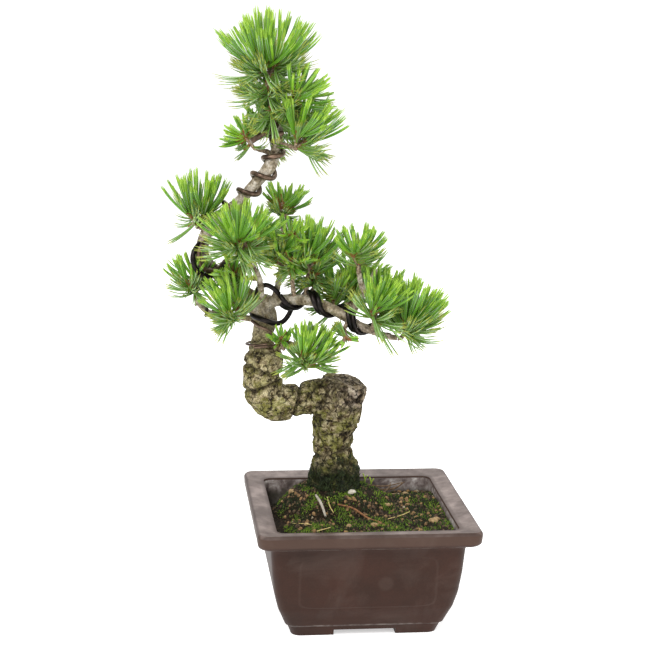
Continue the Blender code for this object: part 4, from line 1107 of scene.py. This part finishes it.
def wire_line(host, radius, start, end, turns, phase):
    """Coil of wire round a limb, pushed clear of the bark where the limb bends."""
    count = max(12, round(turns * 18))
    centres = np.array([along_line(host, start + (end - start) * i / count) for i in range(count + 1)])
    points = []
    for i, (centre, (side, up)) in enumerate(zip(centres, frames_along(centres))):
        angle = phase + 2 * math.pi * turns * i / count
        way = side * math.cos(angle) + up * math.sin(angle)
        points.append(Vector(centre[:3]) + way * float(centre[3] + radius + WIRE_GAP))
    for point in points:
        gaps = np.linalg.norm(host[:, :3] - np.array(point), axis=1) - host[:, 3]
        nearest = int(np.argmin(gaps))
        short = radius + WIRE_GAP - gaps[nearest]
        if short > 0:
            point += (point - Vector(host[nearest, :3])).normalized() * float(short)
    return np.array([[p.x, p.y, p.z, radius] for p in points])


def soil_mesh():
    """Soil in the pot, with shares of moss and grit kept on its points."""
    centre = Vector((TRUNK_FOOT[0], TRUNK_FOOT[1], 0.0))
    rings = []
    for z, half in reversed(INNER_PROFILE[2:]):
        rings.append(rounded_square(half - 0.4, INNER_CORNER, z + 0.4, WALL_POINTS, 5))
    wall = rounded_square(inner_half(SOIL_LEVEL) - 0.3, INNER_CORNER, 0.0, WALL_POINTS, 5)
    for step in range(34):
        share = 1.0 - step * 0.028
        ring = []
        for point in wall:
            spot = centre.lerp(point, share)
            z = soil_height(spot.x, spot.y)
            if share == 1.0:
                z = min(z, SOIL_LEVEL + 2.0)
            else:
                z += 1.3 * noise.fractal(Vector((spot.x, spot.y, 0.0)) / 8.0, 0.9, 2.0, 4)
            ring.append(Vector((spot.x, spot.y, min(z, TRUNK_FOOT[2] + 0.4))))
        rings.append(ring)
    mesh = mesh_of("potting_soil", *loft(rings))
    moss, shade, grit = [], [], []
    for vert in mesh.vertices:
        spot = (vert.co - HOME) / MM
        top = 1.0 if spot.z > SOIL_LEVEL - 6.0 else 0.0
        cloud = noise.fractal(Vector((spot.x, spot.y, 5.0)) / 11.0, 0.9, 2.0, 4)
        other = noise.fractal(Vector((spot.x, spot.y, 40.0)) / 13.0, 0.9, 2.0, 4)
        moss.append(top * kept(2.2 * (cloud + 0.02 - 0.003 * spot.y)))
        shade.append(top * kept(4.0 * (other + 0.1)))
        grit.append(top * (1.0 if cloud < 0.1 else 0.3))
    for label, values in (("moss", moss), ("shade", shade), ("grit", grit)):
        mesh.attributes.new(label, "FLOAT", "POINT").data.foreach_set("value", values)
    return mesh


def stones_mesh(name, places):
    """Larger stones where the photograph shows them, each lumpy in its own way."""
    mesh = bpy.data.meshes.new(name)
    shape = bmesh.new()
    for x, y, radius in places:
        centre = Vector((x, y, soil_height(x, y) + radius * 0.35))
        made = bmesh.ops.create_icosphere(shape, subdivisions=3, radius=radius)["verts"]
        for vert in made:
            lump = 1.0 + 0.5 * noise.noise(vert.co / radius + centre)
            flat = Vector((vert.co.x * 1.2, vert.co.y, vert.co.z * 0.75))
            vert.co = (flat * lump + centre) * MM + HOME
    shape.to_mesh(mesh)
    shape.free()
    mesh.shade_smooth()
    return mesh


class BonsaiSettings(bpy.types.PropertyGroup):
    """Sizes and colours of the bonsai's finish."""

    needle_width: bpy.props.FloatProperty(
        name="Needle width", description="Width of one needle", default=1.45 * MM, unit="LENGTH")
    bark_grain: bpy.props.FloatProperty(
        name="Bark grain", description="Finest relief of the bark skin", default=0.8 * MM, unit="LENGTH")
    moss_density: bpy.props.FloatProperty(
        name="Moss density", description="Moss leaves on a square metre", default=1300000.0)
    grit_density: bpy.props.FloatProperty(
        name="Grit density", description="Stones on a square metre", default=14000.0)
    body_hex: bpy.props.StringProperty(
        name="Pot body", description="Colour of the stoneware, as hex", default="#381f15")
    dark_hex: bpy.props.StringProperty(
        name="Pot dark", description="Darker mottling of the stoneware, as hex", default="#2b180f")
    plate_hex: bpy.props.StringProperty(
        name="Bark plates", description="Colour of the old bark, as hex", default="#958868")
    algae_hex: bpy.props.StringProperty(
        name="Algae", description="Colour of the green film on the bark, as hex", default="#76782c")
    wire_hex: bpy.props.StringProperty(
        name="Wire", description="Colour of the training wire, as hex", default="#7a6454")
    light_strength: bpy.props.FloatProperty(
        name="Key light", description="Strength of the main soft light in watts", default=20.0)


class BONSAI_OT_stage(bpy.types.Operator):
    """Pale floor, soft light and the camera at the photograph's angle"""
    bl_idname = "bonsai.stage"
    bl_label = "Stage"

    def execute(self, context):
        scene = context.scene
        floor_mesh = bpy.data.meshes.new("floor")
        reach = 80.0
        floor_mesh.from_pydata([(-reach, -reach, 0), (reach, -reach, 0), (reach, reach, 0),
                                (-reach, reach, 0)], [], [(0, 1, 2, 3)])
        floor = in_scene("floor", floor_mesh)
        made, tree, shader = new_material("pale paper floor", 0.95, Specular_IOR_Level=0.0,
                                          Emission_Color=WHITE, Emission_Strength=0.5)
        place = add(tree, "ShaderNodeTexCoord", out="Object")
        paper = mottle(tree, place, 400.0, 4.0, 0.55, ((0.0, "#f4f4f3"), (1.0, "#f9f9f9")))
        tree.links.new(paper, shader.inputs["Base Color"])
        floor_mesh.materials.append(made)
        world = bpy.data.worlds.new("studio")
        world.use_nodes = True
        sky = world.node_tree
        soft = sky.nodes["Background"]
        soft.inputs["Color"].default_value = WHITE
        soft.inputs["Strength"].default_value = 0.72
        white = add(sky, "ShaderNodeBackground", WHITE, 1.05)
        to_camera = add(sky, "ShaderNodeLightPath", out="Is Camera Ray")
        seen = add(sky, "ShaderNodeMixShader", to_camera, soft.outputs["Background"], white)
        sky.links.new(seen, sky.nodes["World Output"].inputs["Surface"])
        scene.world = world
        key = scene.bonsai.light_strength
        for name, spot, size, strength in (("key light", (-0.7, -1.0, 1.3), 0.9, key),
                                           ("fill light", (1.1, -0.8, 0.7), 1.2, key * 0.35),
                                           ("back light", (0.2, 1.2, 1.2), 1.0, key * 0.6)):
            light = bpy.data.lights.new(name, "AREA")
            light.size = size
            light.energy = strength
            lamp = in_scene(name, light)
            lamp.location = spot
            lamp.rotation_euler = (Vector((0, 0, 0.22)) - Vector(spot)).to_track_quat("-Z", "Y").to_euler()
        camera = bpy.data.cameras.new("camera")
        camera.lens = CAMERA_LENS
        eye = in_scene("camera", camera)
        pitch, yaw, roll = (math.radians(a) for a in (CAMERA_PITCH, CAMERA_YAW, CAMERA_ROLL))
        ahead = Vector((math.sin(yaw) * math.cos(pitch), math.cos(yaw) * math.cos(pitch),
                        -math.sin(pitch)))
        right = Vector((math.cos(yaw), -math.sin(yaw), 0.0))
        above = right.cross(ahead)
        across = right * math.cos(roll) + above * math.sin(roll)
        upward = above * math.cos(roll) - right * math.sin(roll)
        turn = Matrix((across, upward, -ahead)).transposed()
        eye.matrix_world = Matrix.Translation(Vector(CAMERA_PLACE) * MM + HOME) @ turn.to_4x4()
        scene.camera = eye
        scene.view_settings.view_transform = "Standard"
        return {"FINISHED"}


class BONSAI_OT_pot(bpy.types.Operator):
    """Square stoneware pot with soft edges and corner feet"""
    bl_idname = "bonsai.pot"
    bl_label = "Pot"

    def execute(self, context):
        mesh = build_pot_mesh()
        finished("stoneware_pot", mesh, [stoneware_finish(context.scene.bonsai), inner_wall_finish()],
                 ["pot"])
        for face in mesh.polygons:
            spot = (face.center - HOME) / MM
            inside = max(abs(spot.x), abs(spot.y)) < inner_half(spot.z) + 0.8
            if inside and 13.0 < spot.z < 80.8:
                face.material_index = 1
        return {"FINISHED"}


class BONSAI_OT_wood(bpy.types.Operator):
    """Trunk and boughs in one skin of old bark"""
    bl_idname = "bonsai.wood"
    bl_label = "Trunk and boughs"

    def execute(self, context):
        settings = context.scene.bonsai
        mesh = build_wood_mesh(settings.bark_grain / MM)
        foot = in_scene("foot_moss", mesh.copy())
        shares = []
        for vert in mesh.vertices:
            spot = vert.co / MM
            low = spot.x > FOOT_MOSS_FROM and spot.z < FOOT_MOSS_TOP
            share = kept((100.0 - spot.z) / 8.0 + 3.0 * noise.noise(spot / 6.0))
            shares.append(share if low else 0.0)
        foot.data.attributes.new("shade", "FLOAT", "POINT").data.foreach_set("value", shares)
        skin = ground_finish("moss on the foot", "#0d1406", "#2e3d15", 3.0)
        values = {"Density": settings.moss_density, "Seed": 2, "Smallest": 0.9 * MM,
                  "Largest": 2.6 * MM, "Skin": skin}
        grow_piece("foot_moss", foot, cover_tree("shade"), values)
        finished("pine_bark", mesh, [bark_finish(settings)], ["trunk", *BOUGHS])
        return {"FINISHED"}


class BONSAI_OT_twigs(bpy.types.Operator):
    """Stems and short shoots that carry the needles"""
    bl_idname = "bonsai.twigs"
    bl_label = "Twigs"

    def execute(self, context):
        lines = limb_lines(2.0)
        rods = []
        for name, row in TUFTS.items():
            stem = stem_line(lines[row[0]], row[1], row[2])
            stem[:, 3] *= [1.15 + 0.15 * math.sin(2.4 * i) for i in range(len(stem))]
            rods.append(stem)
            shoots = shoots_of(name, row[2], row[3], row[6])
            finer = finer_twigs_of(name, shoots, Vector(row[3]).normalized())
            for (start, way, length), thick in [(s, 1.4) for s in shoots] + [(t, 1.05) for t in finer]:
                marks = [[*(start - way * 1.5), thick * 0.85], [*(start + way * length * 0.4), thick],
                         [*(start + way * length * 0.8), thick * 0.9],
                         [*(start + way * length), thick * 0.4]]
                rods.append(curve_through(marks, 2.0))
        grow_piece("pine_twigs", curves_item("twigs", rods), rod_tree(),
                   {"Sides": ROD_SIDES, "Skin": twig_finish()}, smooth=True)
        return {"FINISHED"}


class BONSAI_OT_needles(bpy.types.Operator):
    """Bundles of five needles in three ages, with their sheaths"""
    bl_idname = "bonsai.needles"
    bl_label = "Needles"

    def execute(self, context):
        rows = [needle for name, row in TUFTS.items() for needle in needles_of(name, row)]
        ages = (("young_needles", -1.0, 0.2, "#7bab28", "#bfd8a6", "#a2c548"),
                ("grown_needles", 0.2, 0.66, "#5d8f22", "#abc898", "#8bb23a"),
                ("old_needles", 0.66, 9.0, "#5f862b", "#a6c088", "#98a344"))
        tree = needle_tree()
        for name, youngest, oldest, outer, banded, tip in ages:
            chosen = [r for r in rows if youngest <= r[5] < oldest]
            values = {"Width": context.scene.bonsai.needle_width,
                      "Outer": leaf_finish(name + " outer skin", outer),
                      "Banded": leaf_finish(name + " banded inner skin", banded, 0.6),
                      "Tip": leaf_finish(name + " tips", tip)}
            mesh = grow(points_item(name, chosen), tree, values, name)
            mesh.shade_flat()
            finished(name, mesh, [], list(MASSES))
        sheaths = [(root - way * 0.8, way.to_track_quat("Z", "Y").to_euler(), SHEATH_LENGTH,
                    SHEATH_WIDTH * MM, Vector()) for name, row in TUFTS.items()
                   for root, way, *rest in bundles_of(name, row)]
        brown = ground_finish("papery brown sheath", "#5a3518", "#96602c", 0.8)
        item = points_item("sheaths", sheaths)
        grow_piece("needle_sheaths", item, sheath_tree(), {"Skin": brown})
        return {"FINISHED"}


class BONSAI_OT_wires(bpy.types.Operator):
    """Coils of training wire round the trunk and boughs"""
    bl_idname = "bonsai.wires"
    bl_label = "Training wires"

    def execute(self, context):
        lines = limb_lines(2.0)
        tree = rod_tree()
        made = []
        for name, (radius, host, start, end, turns, phase, strands) in WIRES.items():
            coils = [wire_line(lines[host], radius, start, end, turns, phase - STRAND_OFFSET * k)
                     for k in range(strands)]
            made.append((name, 0.0 if name == "ring_wire" else BRONZE_FROM, coils))
        for name, (radius, bronze_from, places) in BENT_WIRES.items():
            made.append((name, bronze_from, [curve_through([(*spot, radius) for spot in places], 2.0)]))
        for name, bronze_from, coils in made:
            skin = wire_finish(context.scene.bonsai, bronze_from)
            grow_piece(name + "_coil", curves_item(name, coils), tree, {"Sides": WIRE_SIDES, "Skin": skin},
                       [name] if name in WIRES else (), smooth=True)
        return {"FINISHED"}


class BONSAI_OT_ground(bpy.types.Operator):
    """Soil with moss, grit, a root and dry sticks"""
    bl_idname = "bonsai.ground"
    bl_label = "Soil and moss"

    def execute(self, context):
        settings = context.scene.bonsai
        mesh = soil_mesh()
        covers = (("bright_moss", "moss", settings.moss_density * 0.8, 3, 0.8, 2.2, "#2c430c", "#7c9a25"),
                  ("dark_moss", "shade", settings.moss_density * 0.9, 8, 0.8, 2.0, "#0f1706", "#2f3d14"),
                  ("soil_crumbs", "grit", settings.grit_density * 6.0, 4, 0.7, 2.4, "#21180f", "#6b543a"),
                  ("tan_grit", "grit", settings.grit_density, 5, 1.0, 3.4, "#5e452b", "#a17f52"),
                  ("pale_grit", "grit", settings.grit_density * 0.08, 9, 1.2, 3.6, "#857a63", "#b9ad92"))
        for name, kind, density, seed, smallest, largest, dark, light in covers:
            item = in_scene(name, mesh.copy())
            skin = ground_finish(name.replace("_", " "), dark, light, 3.0)
            values = {"Density": density, "Seed": seed, "Smallest": smallest * MM,
                      "Largest": largest * MM, "Skin": skin}
            grow_piece(name, item, cover_tree(kind), values)
        finished("potting_soil", mesh, [soil_finish()], ["soil"])
        for name, (dark, light, places) in STONES.items():
            skin = ground_finish(name.replace("_", " "), dark, light, 2.0)
            finished(name, stones_mesh(name, places), [skin])
        for name, dark, light, lift, runs in LITTER:
            skin = ground_finish(name.replace("_", " "), dark, light, 2.0)
            lines = []
            for run in runs:
                marks = [(x, y, soil_height(x, y) + radius * 0.8 + lift * k, radius)
                         for k, (x, y, radius) in enumerate(run)]
                lines.append(curve_through(marks, 2.0))
            grow_piece(name, curves_item(name, lines), rod_tree(), {"Sides": ROD_SIDES, "Skin": skin},
                       smooth=True)
        return {"FINISHED"}


class BONSAI_PT_panel(bpy.types.Panel):
    """Buttons for every piece of the bonsai"""
    bl_idname = "BONSAI_PT_panel"
    bl_label = "White pine bonsai"
    bl_space_type = "VIEW_3D"
    bl_region_type = "UI"
    bl_category = "Bonsai"

    def draw(self, context):
        for name in BonsaiSettings.__annotations__:
            self.layout.prop(context.scene.bonsai, name)
        for operator in OPERATORS:
            self.layout.operator(operator.bl_idname)


OPERATORS = (BONSAI_OT_stage, BONSAI_OT_pot, BONSAI_OT_ground, BONSAI_OT_wood, BONSAI_OT_twigs,
             BONSAI_OT_wires, BONSAI_OT_needles)
CLASSES = (BonsaiSettings, *OPERATORS, BONSAI_PT_panel)


def register():
    """Make the settings, the operators and the panel known."""
    for made in CLASSES:
        bpy.utils.register_class(made)
    bpy.types.Scene.bonsai = bpy.props.PointerProperty(type=BonsaiSettings)


def unregister():
    """Take the settings, the operators and the panel back."""
    del bpy.types.Scene.bonsai
    for made in reversed(CLASSES):
        bpy.utils.unregister_class(made)


def main():
    """Make every piece in turn."""
    register()
    bpy.ops.bonsai.stage()
    bpy.ops.bonsai.pot()
    bpy.ops.bonsai.ground()
    bpy.ops.bonsai.wood()
    bpy.ops.bonsai.twigs()
    bpy.ops.bonsai.wires()
    bpy.ops.bonsai.needles()


if __name__ == "__main__":
    main()
